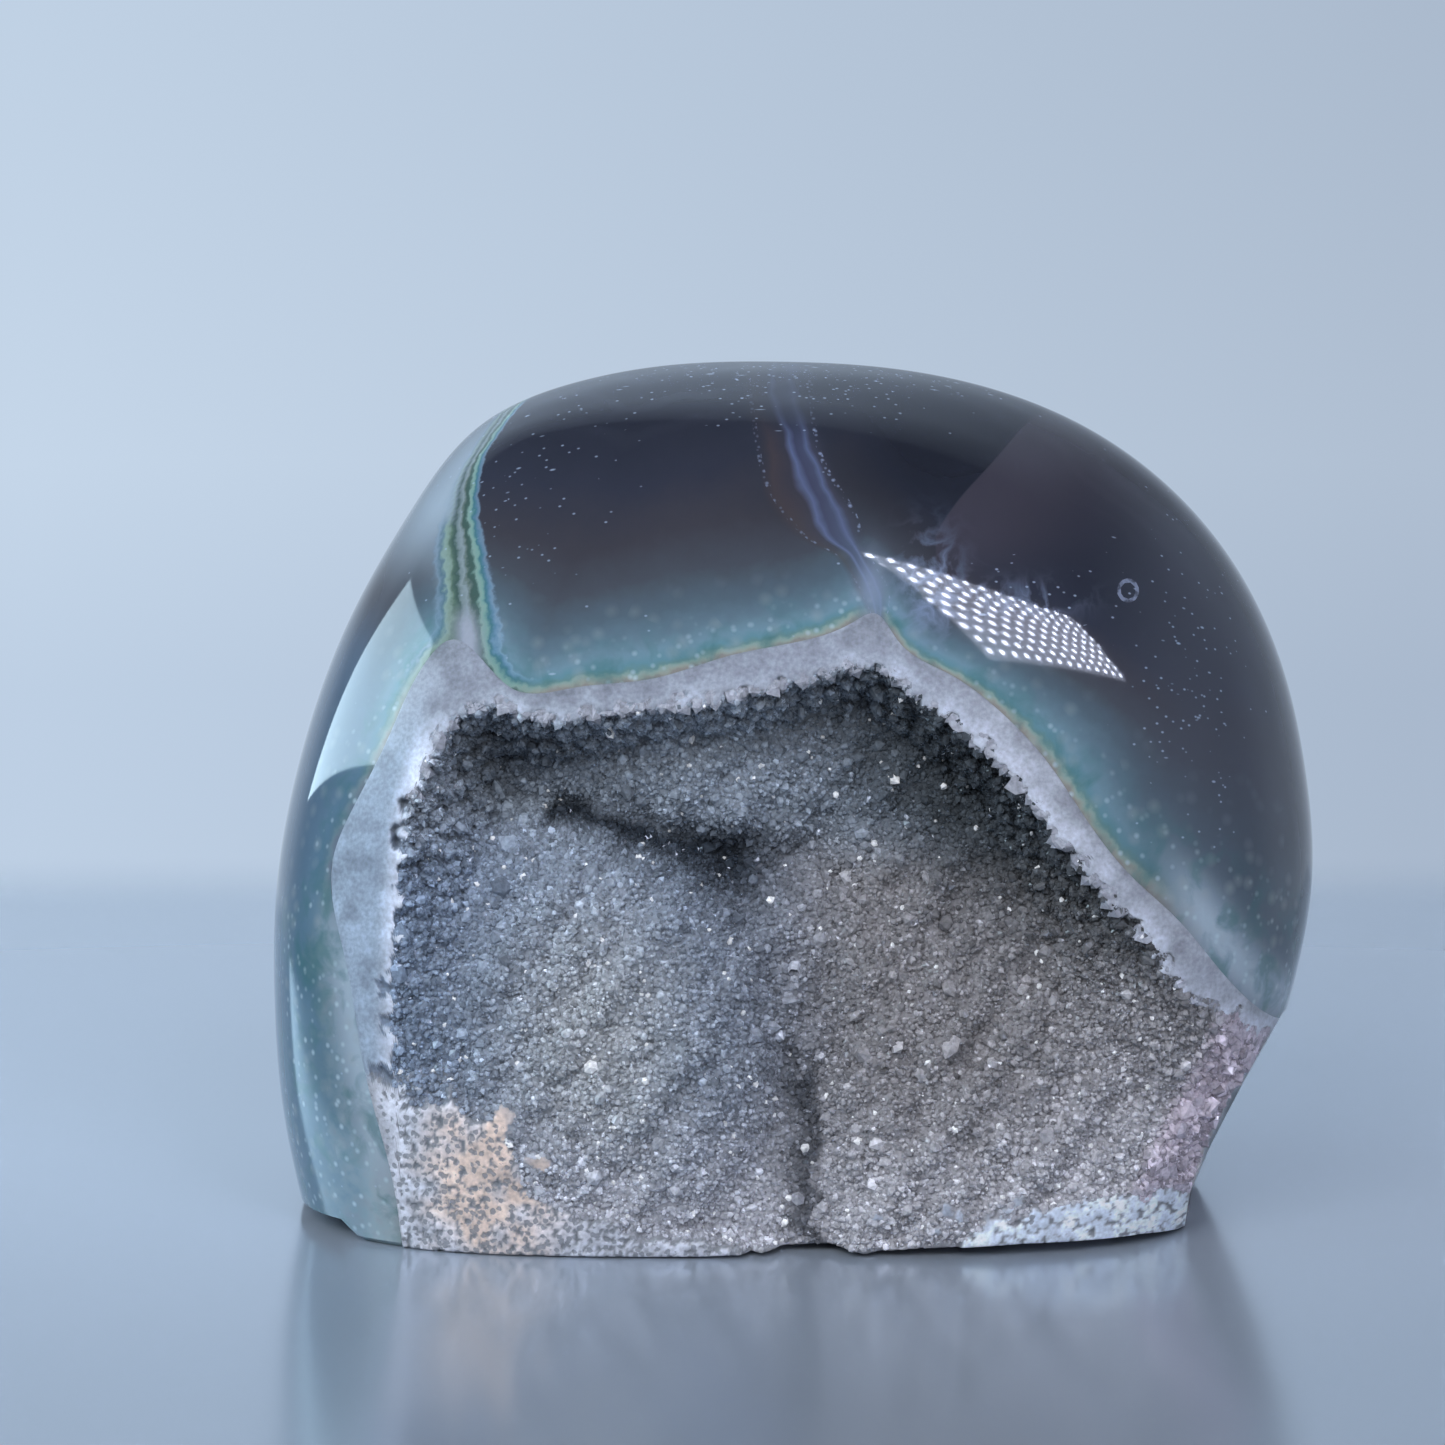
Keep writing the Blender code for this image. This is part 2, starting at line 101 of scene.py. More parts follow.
# The uneven lower edge of the quartz, which clears the table along its right part.
CRUST_FOOT = [
    (0.0500, 0.0004), (0.0345, 0.0004), (0.0310, 0.0009), (0.0200, 0.0011), (0.0090, 0.0007),
    (0.0060, 0.0003), (0.0035, 0.0007), (-0.0010, 0.0006), (-0.0040, 0.0004), (-0.0090, 0.0002),
    (-0.0345, 0.0001),
]
# The edge of the corner that has broken away, in the plane BREAK_PLANE_Y. It runs straight back from
# there along BREAK_RUN.
BREAK_EDGE = [
    (0.0447, 0.0221), (0.0432, 0.0205), (0.0399, 0.0144), (0.0370, 0.0085), (0.0352, 0.0041),
    (0.0350, 0.0016), (0.0340, -0.0040),
]
BREAK_PLANE_Y = -0.020
BREAK_RUN = (0.130, 1.0, -0.225)
CORNER_FROM = 0.0335  # x from where the foot of the crust follows the broken corner
OUTSIDE = 0.0700  # x past the stone's right side

# How the lining falls away behind the polished front.
WALL_SLOPE_LOW = 0.35  # depth gained for each metre in from the rim, at the foot
WALL_SLOPE_HIGH = 2.2  # the same under the top of the rim
WALL_SLOPE_FROM = 0.018  # heights between which the slope goes from the one to the other
WALL_SLOPE_TO = 0.046
RIM_PROUD_SLOPE = 2.0  # outside the opening the raw crust stood proud, and the polish took it off
MOST_PROUD = 0.006
FLOOR_DEPTH_LOW = 0.0075
FLOOR_DEPTH_HIGH = 0.0150
LOBE_BLEND = 0.0014
# Rounded places of the lining: the middle's x and height, and half the width and the height.
LEFT_LOBE = (-0.0190, 0.0140, 0.0200, 0.0250)
UPPER_LOBE = (-0.0040, 0.0440, 0.0230, 0.0110)
GROUND_PATCH = (-0.0275, 0.0060, 0.0060, 0.0080)
GROUND_OFF = 0.00182  # as much was ground off in the middle of the patch
RIGHT_LOBE_FULL = 0.0190  # x right of which the right lobe is at its full height
RIGHT_LOBE_FALL = 0.0182  # how far to the left it takes to fall away
CRUST_THICKNESS = 0.0042
CRUST_LIP = 0.0018
IN_FRONT = -0.045  # y of the planes that close the cutters
BEHIND = 0.010
CUTTER_FOOT = -0.0030  # the cutters reach this low
CUTTER_RIGHT = 0.0500
BACK_ROWS = 12  # rows of points up the back of the crust
CRYSTAL_SIDES = 6
CRYSTAL_POINTS = 2 * CRYSTAL_SIDES + 1

# Dark clefts where the lobes of the druse meet, as x and height.
UPPER_CLEFT = [
    (-0.0215, 0.0374), (-0.0169, 0.0373), (-0.0130, 0.0358), (-0.0088, 0.0346), (-0.0048, 0.0331),
]
LOWER_CLEFT = [
    (0.0004, 0.0150), (0.0013, 0.0132), (0.0018, 0.0093), (0.0006, 0.0070), (0.0017, 0.0050),
    (0.0011, 0.0027), (0.0022, 0.0007),
]
CLEFT_DEPTH = 0.0018
# Up to where the crust was ground almost flush along its foot, as x and height.
GROUND_TOP = [
    (-0.0360, 0.0150), (-0.0300, 0.0150), (-0.0265, 0.0120), (-0.0235, 0.0070), (-0.0200, 0.0045),
    (-0.0150, 0.0026), (-0.0050, 0.0018), (0.0000, 0.0008), (0.0030, -0.0030), (0.0100, -0.0010),
    (0.0140, 0.0015), (0.0180, 0.0035), (0.0230, 0.0052), (0.0300, 0.0056), (0.0360, 0.0030),
]
# The chip along the polished foot at the left, as x and height.
FOOT_CHIP = [
    (-0.0600, 0.0031), (-0.0404, 0.0029), (-0.0392, 0.0019), (-0.0376, 0.0006), (-0.0358, -0.0020),
    (-0.0600, -0.0020),
]
CHIP_BACK = 0.012  # y where the chip ends, as much lower there as CHIP_DROP says
CHIP_DROP = 0.0026

# Sheets of other growth that run through the agate from front to back, as y and x.
SEAM_SHEET = [
    (-0.0219, -0.0285), (-0.0196, -0.0287), (-0.0173, -0.0291), (-0.0147, -0.0295),
    (-0.0123, -0.0299), (-0.0099, -0.0297), (-0.0079, -0.0294), (-0.0062, -0.0283),
    (-0.0041, -0.0269), (0.0003, -0.0250), (0.0100, -0.0220), (0.0200, -0.0205), (0.0300, -0.0200),
]
FAN_LEFT_SHEET = [
    (-0.0231, 0.0068), (-0.0217, 0.0055), (-0.0203, 0.0038), (-0.0194, 0.0012), (-0.0180, -0.0009),
    (-0.0157, -0.0027), (-0.0134, -0.0033), (-0.0096, -0.0038), (0.0, -0.0045), (0.0100, -0.0050),
    (0.0200, -0.0040), (0.0300, -0.0030),
]
FAN_RIGHT_SHEET = [
    (-0.0233, 0.0074), (-0.0221, 0.0081), (-0.0208, 0.0071), (-0.0196, 0.0059), (-0.0182, 0.0053),
    (-0.0164, 0.0039), (-0.0142, 0.0024), (-0.0116, 0.0018), (0.0, 0.0020), (0.0100, 0.0040),
    (0.0200, 0.0070), (0.0300, 0.0090),
]
FRACTURE_SHEET = [
    (-0.0187, 0.0122), (-0.0166, 0.0140), (-0.0134, 0.0169), (-0.0071, 0.0208), (0.0, 0.0240),
    (0.0150, 0.0280), (0.0300, 0.0300),
]

RING_PLACE = (0.0292, 0.0578)  # x and height of the small ring on the right flank

# Soft spots in the agate: the middle's x and height, and half the width and the height.
STONE_SPOTS = {
    "depths": (0.0120, 0.0690, 0.0110, 0.0070),
    "crown": (0.0020, 0.0775, 0.0200, 0.0045),
    "scratched_left": (-0.0235, 0.0660, 0.0070, 0.0100),
    "scratched_right": (0.0210, 0.0575, 0.0060, 0.0030),
    "dusty_flank": (0.0340, 0.0500, 0.0050, 0.0120),
    "upper_frost": (0.0116, 0.0584, 0.0024, 0.0036),
    "lower_frost": (0.0190, 0.0572, 0.0050, 0.0014),
    "haze": (0.0066, 0.0580, 0.0013, 0.0028),
}
# What the polished agate's mesh carries for its colours.
STONE_VALUES = (
    "rim_mm", "spread", "flank", "depths", "seam_mm", "seam_show", "wedge", "shoulder", "left_side",
    "fan", "fan_show", "fracture_mm", "healed", "dust", "frost", "haze", "ring_mm",
)

# Tones of the moss and the haze, as places from 0 at the rim to 1 at 30 mm.
MOSS_TONES = (
    (0.0, "#807d78"), (0.012, "#8a9188"), (0.022, "#82978f"), (0.034, "#5d7e7e"), (0.050, "#5b818b"),
    (0.080, "#66838f"), (0.130, "#5b717d"), (0.210, "#4d5d67"), (0.340, "#42474f"),
)
# Layers of the seam and ribbons of the fan, as place across, tone and how far each covers.
SEAM_LAYERS = (
    (0.05, "#5f7484", 0.0), (0.12, "#7890a3", 0.5), (0.19, "#4b6a78", 0.7), (0.25, "#7d948d", 1.0),
    (0.31, "#72877c", 1.0), (0.36, "#4f655a", 1.0), (0.42, "#3c534f", 1.0), (0.47, "#6c7b7d", 1.0),
    (0.53, "#7b898e", 1.0), (0.57, "#62706c", 1.0), (0.61, "#3e544f", 1.0), (0.66, "#3f5853", 1.0),
    (0.71, "#78938b", 1.0), (0.76, "#6f9089", 1.0), (0.81, "#3d6a72", 1.0), (0.86, "#587b92", 0.8),
    (0.91, "#7f9ab0", 0.5), (0.97, "#3d4a5a", 0.0),
)
FAN_RIBBONS = (
    (0.06, "#3a3436", 0.0), (0.22, "#463d3c", 0.50), (0.40, "#3c3943", 0.40), (0.48, "#636f92", 0.60),
    (0.55, "#454b66", 0.50), (0.64, "#4c546f", 0.50), (0.70, "#626e90", 0.60), (0.77, "#454859", 0.45),
    (0.95, "#33343f", 0.0),
)

# The pieces that the druse is split into. The upper two lie above a line that rises to the right.
DRUSE_PIECES = (
    "druse_left_foot", "druse_left_lobe", "druse_right_foot", "druse_right_slope",
    "druse_upper_left", "druse_upper_right",
)
LOWER_SPLIT_X = 0.0035
UPPER_SPLIT_X = -0.006
FOOT_SPLIT_HEIGHT = 0.017
UPPER_SPLIT_HEIGHT = 0.036  # at x = 0
UPPER_SPLIT_RISE = 0.15

CAMERA_PLACE = (-0.0064, -0.3688, 0.0923)
CAMERA_TILT = 82.5  # degrees up from straight down
LAMP_TARGET = np.array([0.0, 0.0, 0.04])  # the middle of the stone, which the lamps face


def colour(hex_code, alpha=1.0):
    """An sRGB hex colour as linear light, with its alpha."""
    parts = [int(hex_code[i : i + 2], 16) / 255 for i in (1, 3, 5)]
    light = [part / 12.92 if part <= 0.04045 else ((part + 0.055) / 1.055) ** 2.4 for part in parts]
    return (*light, alpha)


def natural_cubic(points, steps):
    """The smooth curve through the points: a natural cubic spline on their chord length, read at
    `steps` places between each pair."""
    knots = np.array(points, float)
    gaps = np.linalg.norm(np.diff(knots, axis=0), axis=1)
    place = np.concatenate([[0.0], np.cumsum(gaps)])
    count = len(knots)
    matrix = np.zeros((count, count))
    wanted = np.zeros(knots.shape)
    matrix[0, 0] = 1.0
    matrix[-1, -1] = 1.0
    for i in range(1, count - 1):
        matrix[i, i - 1 : i + 2] = gaps[i - 1], 2 * (gaps[i - 1] + gaps[i]), gaps[i]
        slope_after = (knots[i + 1] - knots[i]) / gaps[i]
        slope_before = (knots[i] - knots[i - 1]) / gaps[i - 1]
        wanted[i] = 6 * (slope_after - slope_before)
    bend = np.linalg.solve(matrix, wanted)
    at = np.linspace(0.0, place[-1], steps * (count - 1) + 1)
    i = np.clip(np.searchsorted(place, at, side="right") - 1, 0, count - 2)
    a = ((place[i + 1] - at) / gaps[i])[:, None]
    b = ((at - place[i]) / gaps[i])[:, None]
    curve = (a**3 - a) * bend[i] + (b**3 - b) * bend[i + 1]
    return a * knots[i] + b * knots[i + 1] + curve * (gaps[i] ** 2)[:, None] / 6


def centred_halves(outline):
    """The outline's two sides as (height, place) tables, each rising, with its widest span centred."""
    curve = natural_cubic(outline, 160)
    curve[:, 0] -= (curve[:, 0].min() + curve[:, 0].max()) / 2
    top = int(curve[:, 1].argmax())
    return curve[: top + 1, ::-1], curve[top:][::-1, ::-1]


LEFT, RIGHT = centred_halves(FRONT_OUTLINE)
FRONT, BACK = centred_halves(SIDE_OUTLINE)
TOP = float(LEFT[-1, 0])
APEX_Y = float(FRONT[-1, 1])


def read_half(half, height):
    """The place of one side of an outline at a height, its own top stretched to the dome's."""
    return np.interp(height * half[-1, 0] / TOP, half[:, 0], half[:, 1])


def smooth_step(low, high, value):
    """0 below low, 1 above high, and 3t^2 - 2t^3 between."""
    share = np.clip((value - low) / (high - low), 0.0, 1.0)
    return share * share * (3 - 2 * share)


def soft_min(a, b, blend):
    """The smaller of a and b, rounded where they cross."""
    near = np.clip(0.5 + 0.5 * (b - a) / blend, 0.0, 1.0)
    return b + (a - b) * near - blend * near * (1 - near)


def squareness(height, full):
    """The plan is a rounded rectangle at the foot and an ellipse at the top."""
    share = np.clip(height / TOP, 0.0, 1.0)
    return 2.0 + (full - 2.0) * (1.0 - share**2)


def dome_points(turn, height, inset):
    """The polished surface: its level section at a height is |x/a|^n + |y/b|^n = 1 about the
    section's middle, read along the turn from +X."""
    left = read_half(LEFT, height) + inset
    right = read_half(RIGHT, height) - inset
    middle_y = APEX_Y * height / TOP
    half_width = (right - left) / 2
    cos, sin = np.cos(turn), np.sin(turn)
    reach_front = middle_y - read_half(FRONT, height) - inset
    reach_back = read_half(BACK, height) - inset - middle_y
    reach = np.where(sin < 0, reach_front, reach_back)
    power = squareness(height, np.where(sin < 0, FRONT_SQUARENESS, BACK_SQUARENESS))
    radius = ((np.abs(cos) / half_width) ** power + (np.abs(sin) / reach) ** power) ** (-1 / power)
    x = (left + right) / 2 + radius * cos
    return np.stack([x, middle_y + radius * sin, height + 0 * turn], axis=-1)


def dome_front(x, height):
    """y of the dome's polished front at x and height."""
    height = np.clip(height, 0.0, TOP * 0.9999)
    left, right = read_half(LEFT, height), read_half(RIGHT, height)
    middle_y = APEX_Y * height / TOP
    power = squareness(height, FRONT_SQUARENESS)
    across = np.clip(np.abs(x - (left + right) / 2) / ((right - left) / 2), 0.0, 0.995)
    return middle_y - (middle_y - read_half(FRONT, height)) * (1 - across**power) ** (1 / power)


def distance_to_line(points, line):
    """Shortest distance from each point to a polyline, in any number of dimensions."""
    nearest = np.full(len(points), np.inf)
    for start, end in zip(line[:-1], line[1:]):
        span = end - start
        share = np.clip(((points - start) @ span) / (span @ span), 0.0, 1.0)
        away = points - start - share[:, None] * span
        nearest = np.minimum(nearest, (away**2).sum(axis=1))
    return np.sqrt(nearest)


def distance_in(x, z, outline):
    """Distance in the front view from an open outline, positive on the side below and within it."""
    flat_x, flat_z = np.ravel(x), np.ravel(z)
    line = natural_cubic(outline, 4)
    away = distance_to_line(np.stack([flat_x, flat_z], axis=1), line)
    below = np.array([(0.060, line[-1, 1]), (0.060, -0.05), (line[0, 0], -0.05)])
    loop = np.concatenate([line, below])
    inside = np.zeros(len(flat_x), bool)
    for start, end in zip(loop, np.roll(loop, -1, axis=0)):
        crosses = (start[1] > flat_z) != (end[1] > flat_z)
        rise = end[1] - start[1] or 1e-12
        meets = start[0] + (flat_z - start[1]) * (end[0] - start[0]) / rise
        inside ^= crosses & (flat_x < meets)
    return np.where(inside, away, -away).reshape(np.shape(x))


def cell_noise(x, z, size, seed):
    """Cellular noise: one point wanders in each square cell, and the value is the distance to the
    nearest, as a share of the cell's size, with a steady chance value of that nearest cell."""
    column, row = np.floor(x / size), np.floor(z / size)
    nearest = np.full(np.shape(x), 9.0)
    chance = np.zeros(np.shape(x))
    for side in (-1, 0, 1):
        for up in (-1, 0, 1):
            a, b = column + side, row + up
            first = np.modf(np.abs(np.sin(a * 127.1 + b * 311.7 + seed) * 43758.5453))[0]
            second = np.modf(np.abs(np.sin(a * 269.5 + b * 183.3 + seed) * 24634.6345))[0]
            away = np.hypot(x / size - a - first, z / size - b - second)
            chance = np.where(away < nearest, first, chance)
            nearest = np.minimum(nearest, away)
    return nearest, chance


def value_noise(x, z, size, seed):
    """Smooth noise from -1 to 1: chance values on a square lattice, blended between its corners."""
    a, b = np.floor(x / size), np.floor(z / size)
    across, up = smooth_step(0.0, 1.0, x / size - a), smooth_step(0.0, 1.0, z / size - b)
    total = np.zeros(np.shape(x))
    for side, share_x in ((0, 1 - across), (1, across)):
        for above, share_z in ((0, 1 - up), (1, up)):
            wave = np.sin((a + side) * 127.1 + (b + above) * 311.7 + seed) * 43758.5453
            total += np.modf(np.abs(wave))[0] * share_x * share_z
    return 2 * total - 1


def lobe_depth(x, z):
    """Depth of the crust's lobes behind the polished front: a broad swelling at the lower left, with
    a patch ground flush, a slope at the right that ends in a sharp left edge, a bulge set back above
    them, and the floor that shows in the clefts between."""
    floor = FLOOR_DEPTH_LOW + (FLOOR_DEPTH_HIGH - FLOOR_DEPTH_LOW) * smooth_step(0.026, 0.040, z)
    left_reach = lobe_reach(x, z, *LEFT_LOBE)
    left_lobe = 0.0013 + 0.0110 * np.minimum(left_reach, 1.3) ** 5
    right_reach = np.maximum((RIGHT_LOBE_FULL - x) / RIGHT_LOBE_FALL, 0.0)
    right_lobe = 0.0004 + 0.24 * np.maximum(z - 0.0040, 0.0)
    right_lobe = right_lobe + 0.0080 * np.minimum(right_reach, 1.3) ** 7
    upper_reach = lobe_reach(x, z, *UPPER_LOBE)
    upper_lobe = 0.0088 + 0.0050 * np.minimum(upper_reach, 1.6) ** 3
    depth = floor
    for lobe in (left_lobe, right_lobe, upper_lobe):
        depth = soft_min(depth, lobe, LOBE_BLEND)
    depth = depth - np.minimum(GROUND_OFF * bump(x, z, *GROUND_PATCH), depth)
    swell = 0.00045 * np.sin(x * 610 + 1.3) * np.sin(z * 540 + 0.4)
    return depth + swell + 0.00035 * np.sin(x * 1130 - z * 870)


def lobe_reach(x, z, middle_x, middle_z, half_x, half_z):
    """How far out a place lies in the front view: sqrt((dx/half_x)^2 + (dz/half_z)^2)."""
    return np.hypot((x - middle_x) / half_x, (z - middle_z) / half_z)


def bump(x, z, middle_x, middle_z, half_x, half_z):
    """A soft spot in the front view: exp(-(dx/half_x)^2 - (dz/half_z)^2)."""
    return np.exp(-(((x - middle_x) / half_x) ** 2) - ((z - middle_z) / half_z) ** 2)


def ground_flush(x, z):
    """How far the crust was ground almost flush along its foot, from 0 to 1."""
    limit = np.interp(x, *np.transpose(GROUND_TOP))
    ragged = 1.5 * MM * value_noise(x, z, 2.8 * MM, 8.0) + 0.7 * MM * value_noise(x, z, 1.0 * MM, 4.0)
    return 1 - smooth_step(-0.8 * MM, 1.2 * MM, z - limit + ragged)


def cleft_share(x, z):
    """How deep in a cleft a place is, from 0 to 1: exp(-(distance / width)^2). The upper cleft widens
    to the right, and the lower one is steep on its right side and easy on its left."""
    bent_x = x + 0.0009 * value_noise(x, z, 2.2 * MM, 41.0)
    bent_z = z + 0.0009 * value_noise(x, z, 1.9 * MM, 43.0)
    flat = np.stack([np.ravel(bent_x), np.ravel(bent_z)], axis=1)
    upper = distance_to_line(flat, np.array(UPPER_CLEFT)).reshape(np.shape(x))
    lower = distance_to_line(flat, np.array(LOWER_CLEFT)).reshape(np.shape(x))
    width = np.interp(x, [-0.0215, -0.0126, -0.0052], [0.0010, 0.0021, 0.0034])
    middle = np.interp(z, *np.transpose(LOWER_CLEFT)[::-1, ::-1])
    one_side = np.where(x < middle, 0.0021, 0.0005)
    return np.maximum(np.exp(-((upper / width) ** 2)), 0.8 * np.exp(-((lower / one_side) ** 2)))


def wall_slope(z):
    """The slope of the hollow's wall behind the rim, which steepens with height."""
    share = smooth_step(WALL_SLOPE_FROM, WALL_SLOPE_TO, z)
    return WALL_SLOPE_LOW + (WALL_SLOPE_HIGH - WALL_SLOPE_LOW) * share


def lining_depth(x, z):
    """Depth of the lining behind the polish, uneven at the size of a few crystals. The rim's inner
    edge is as ragged as the crystals that it cuts, and it breaks up into patches at the left.
    Negative where it was ground flush."""
    tooth, _ = cell_noise(x, z, 1.5 * MM, 5.0)
    nick, _ = cell_noise(x, z, 0.7 * MM, 9.0)
    inward = distance_in(x, z, OPENING_OUTLINE) + 0.0017 * (tooth - 0.45) + 0.0006 * (nick - 0.45)
    patchy = (1 - smooth_step(-0.0345, -0.0300, x)) * (1 - smooth_step(0.038, 0.046, z))
    patches = 0.6 * value_noise(x, z, 2.6 * MM, 12.0) + 0.4 * value_noise(x, z, 1.1 * MM, 13.0)
    reach = 0.0018 + 0.0030 * (1 - smooth_step(0.014, 0.030, z))
    inward = inward + patchy * reach * np.maximum(patches + 0.12, 0.0)
    wall = np.where(inward > 0, wall_slope(z) * inward, RIM_PROUD_SLOPE * inward)
    clump, _ = cell_noise(x, z, 2.6 * MM, 2.0)
    uneven = 0.0009 * (clump - 0.45) + 0.0002 * value_noise(x, z, 1.3 * MM, 3.0)
    deep = lobe_depth(x, z) + uneven + CLEFT_DEPTH * cleft_share(x, z)
    deep = soft_min(deep, 0.0026 + 0.32 * np.maximum(z, 0.0), LOBE_BLEND)
    depth = soft_min(deep, wall, LOBE_BLEND / 2)
    return depth + (np.minimum(depth, -0.00008) - depth) * ground_flush(x, z)


def hollow_y(x, z):
    """y of the hollow's wall, behind the crust."""
    inward = distance_in(x, z, CRUST_OUTLINE)
    wall = CRUST_LIP + wall_slope(z) * inward
    depth = soft_min(lobe_depth(x, z) + CRUST_THICKNESS, wall, LOBE_BLEND)
    return dome_front(x, z) + np.maximum(depth, -MOST_PROUD)


def grid_faces(rows, columns, wraps=False):
    """Quads of a grid whose points run along its rows, first row first."""
    index = np.arange(rows * columns).reshape(rows, columns)
    if wraps:
        index = np.concatenate([index, index[:, :1]], axis=1)
    corners = (index[:-1, :-1], index[:-1, 1:], index[1:, 1:], index[1:, :-1])
    return np.stack([corner.ravel() for corner in corners], axis=1)


def add_object(name, data):
    """A new object in the scene."""
    made = bpy.data.objects.new(name, data)
    bpy.context.scene.collection.objects.link(made)
    return made


def add_mesh(name, points, groups, smooth=True):
    """A new object whose faces come as arrays of point numbers, one array for each count of sides."""
    mesh = bpy.data.meshes.new(name)
    points = np.asarray(points, np.float32).reshape(-1, 3)
    corners = np.concatenate([np.ravel(group) for group in groups])
    sides = np.concatenate([np.full(len(group), np.shape(group)[1]) for group in groups])
    mesh.vertices.add(len(points))
    mesh.vertices.foreach_set("co", points.ravel())
    mesh.loops.add(len(corners))
    mesh.loops.foreach_set("vertex_index", corners.astype(np.int32))
    mesh.polygons.add(len(sides))
    starts = np.concatenate([[0], np.cumsum(sides)[:-1]])
    mesh.polygons.foreach_set("loop_start", starts.astype(np.int32))
    mesh.polygons.foreach_set("use_smooth", np.full(len(sides), smooth))
    mesh.update(calc_edges=True)
    mesh.validate()
    return add_object(name, mesh)


def mesh_points(mesh):
    """The mesh's points as an array."""
    points = np.empty(len(mesh.vertices) * 3, np.float32)
    mesh.vertices.foreach_get("co", points)
    return points.reshape(-1, 3).astype(float)


def keep_values(mesh, name, values):
    """Stores one number or one colour for each point of the mesh."""
    many = np.ndim(values) == 2
    layer = mesh.attributes.new(name, "FLOAT_COLOR" if many else "FLOAT", "POINT")
    flat = np.ascontiguousarray(values, np.float32).ravel()
    layer.data.foreach_set("color" if many else "value", flat)


def prism(name, near_loop, far_loop, near_y, far_y):
    """A closed solid between two outlines in the front view, each in its own plane of y."""
    near = np.insert(np.array(near_loop, float), 1, near_y, axis=1)
    far = np.insert(np.array(far_loop, float), 1, far_y, axis=1)
    count = len(near)
    i = np.arange(count)
    j = np.roll(i, -1)
    sides = np.stack([i, j, j + count, i + count], axis=1)
    made = add_mesh(name, np.concatenate([near, far]), [sides, [i[::-1]], [i + count]], False)
    return face_outward(made)


def sheet_solid(name, x, z, y, plane_y):
    """A closed solid between a surface of y over a grid of x and height and a flat plane."""
    rows, columns = x.shape
    front = np.stack([x, y, z], axis=-1).reshape(-1, 3)
    back = np.stack([x, np.full_like(x, plane_y), z], axis=-1).reshape(-1, 3)
    faces = grid_faces(rows, columns)
    index = np.arange(rows * columns).reshape(rows, columns)
    ring = np.concatenate([index[0], index[1:, -1], index[-1, -2::-1], index[-2:0:-1, 0]])
    following = np.roll(ring, -1)
    count = rows * columns
    sides = np.stack([ring, ring + count, following + count, following], axis=1)
    groups = [faces, faces[:, ::-1] + count, sides]
    return face_outward(add_mesh(name, np.concatenate([front, back]), groups, False))


def face_outward(made):
    """Turns the faces of a closed mesh outward and returns its object."""
    work = bmesh.new()
    work.from_mesh(made.data)
    bmesh.ops.remove_doubles(work, verts=work.verts, dist=1e-7)
    bmesh.ops.recalc_face_normals(work, faces=work.faces)
    if work.calc_volume(signed=True) < 0:
        bmesh.ops.reverse_faces(work, faces=work.faces)
    work.to_mesh(made.data)
    work.free()
    return made


def foot_line(x):
    """Height of the crust's lower edge at x."""
    return np.interp(x, *np.transpose(CRUST_FOOT[::-1]))


def break_x(y, z):
    """x of the broken corner's face at y and height."""
    shift = y - BREAK_PLANE_Y
    edge = np.array(BREAK_EDGE[::-1])
    return np.interp(z - BREAK_RUN[2] * shift, edge[:, 1], edge[:, 0]) + BREAK_RUN[0] * shift


def break_line(x, y):
    """Height of the broken corner's face at x and y."""
    shift = y - BREAK_PLANE_Y
    edge = np.array(BREAK_EDGE[::-1])
    return np.interp(x - BREAK_RUN[0] * shift, edge[:, 0], edge[:, 1]) + BREAK_RUN[2] * shift


def set_inputs(tree, node, inputs):
    """Gives a node its inputs: a socket is linked, and anything else is the input's value."""
    for key, value in inputs.items():
        if isinstance(value, bpy.types.NodeSocket):
            tree.links.new(value, node.inputs[key])
        else:
            node.inputs[key].default_value = value


def add_node(tree, kind, inputs=None, out=0, **settings):
    """Adds a shader node with its settings and inputs, and returns one of its outputs."""
    made = tree.nodes.new(f"ShaderNode{kind}")
    for name, value in settings.items():
        setattr(made, name, value)
    set_inputs(tree, made, inputs or {})
    return made.outputs[out] if len(made.outputs) else None


def set_ramp(socket, stops):
    """Gives the colour ramp that a socket belongs to its stops: places from 0 to 1 and colours."""
    ramp = socket.node.color_ramp
    while len(ramp.elements) > 1:
        ramp.elements.remove(ramp.elements[-1])
    for number, (place, tint) in enumerate(stops):
        stop = ramp.elements[0] if number == 0 else ramp.elements.new(place)
        stop.position = place
        stop.color = tint
    return socket


def new_material(name):
    """A new node material, its Principled shader and its tree."""
    material = bpy.data.materials.new(name)
    material.use_nodes = True
    return material, material.node_tree.nodes["Principled BSDF"], material.node_tree


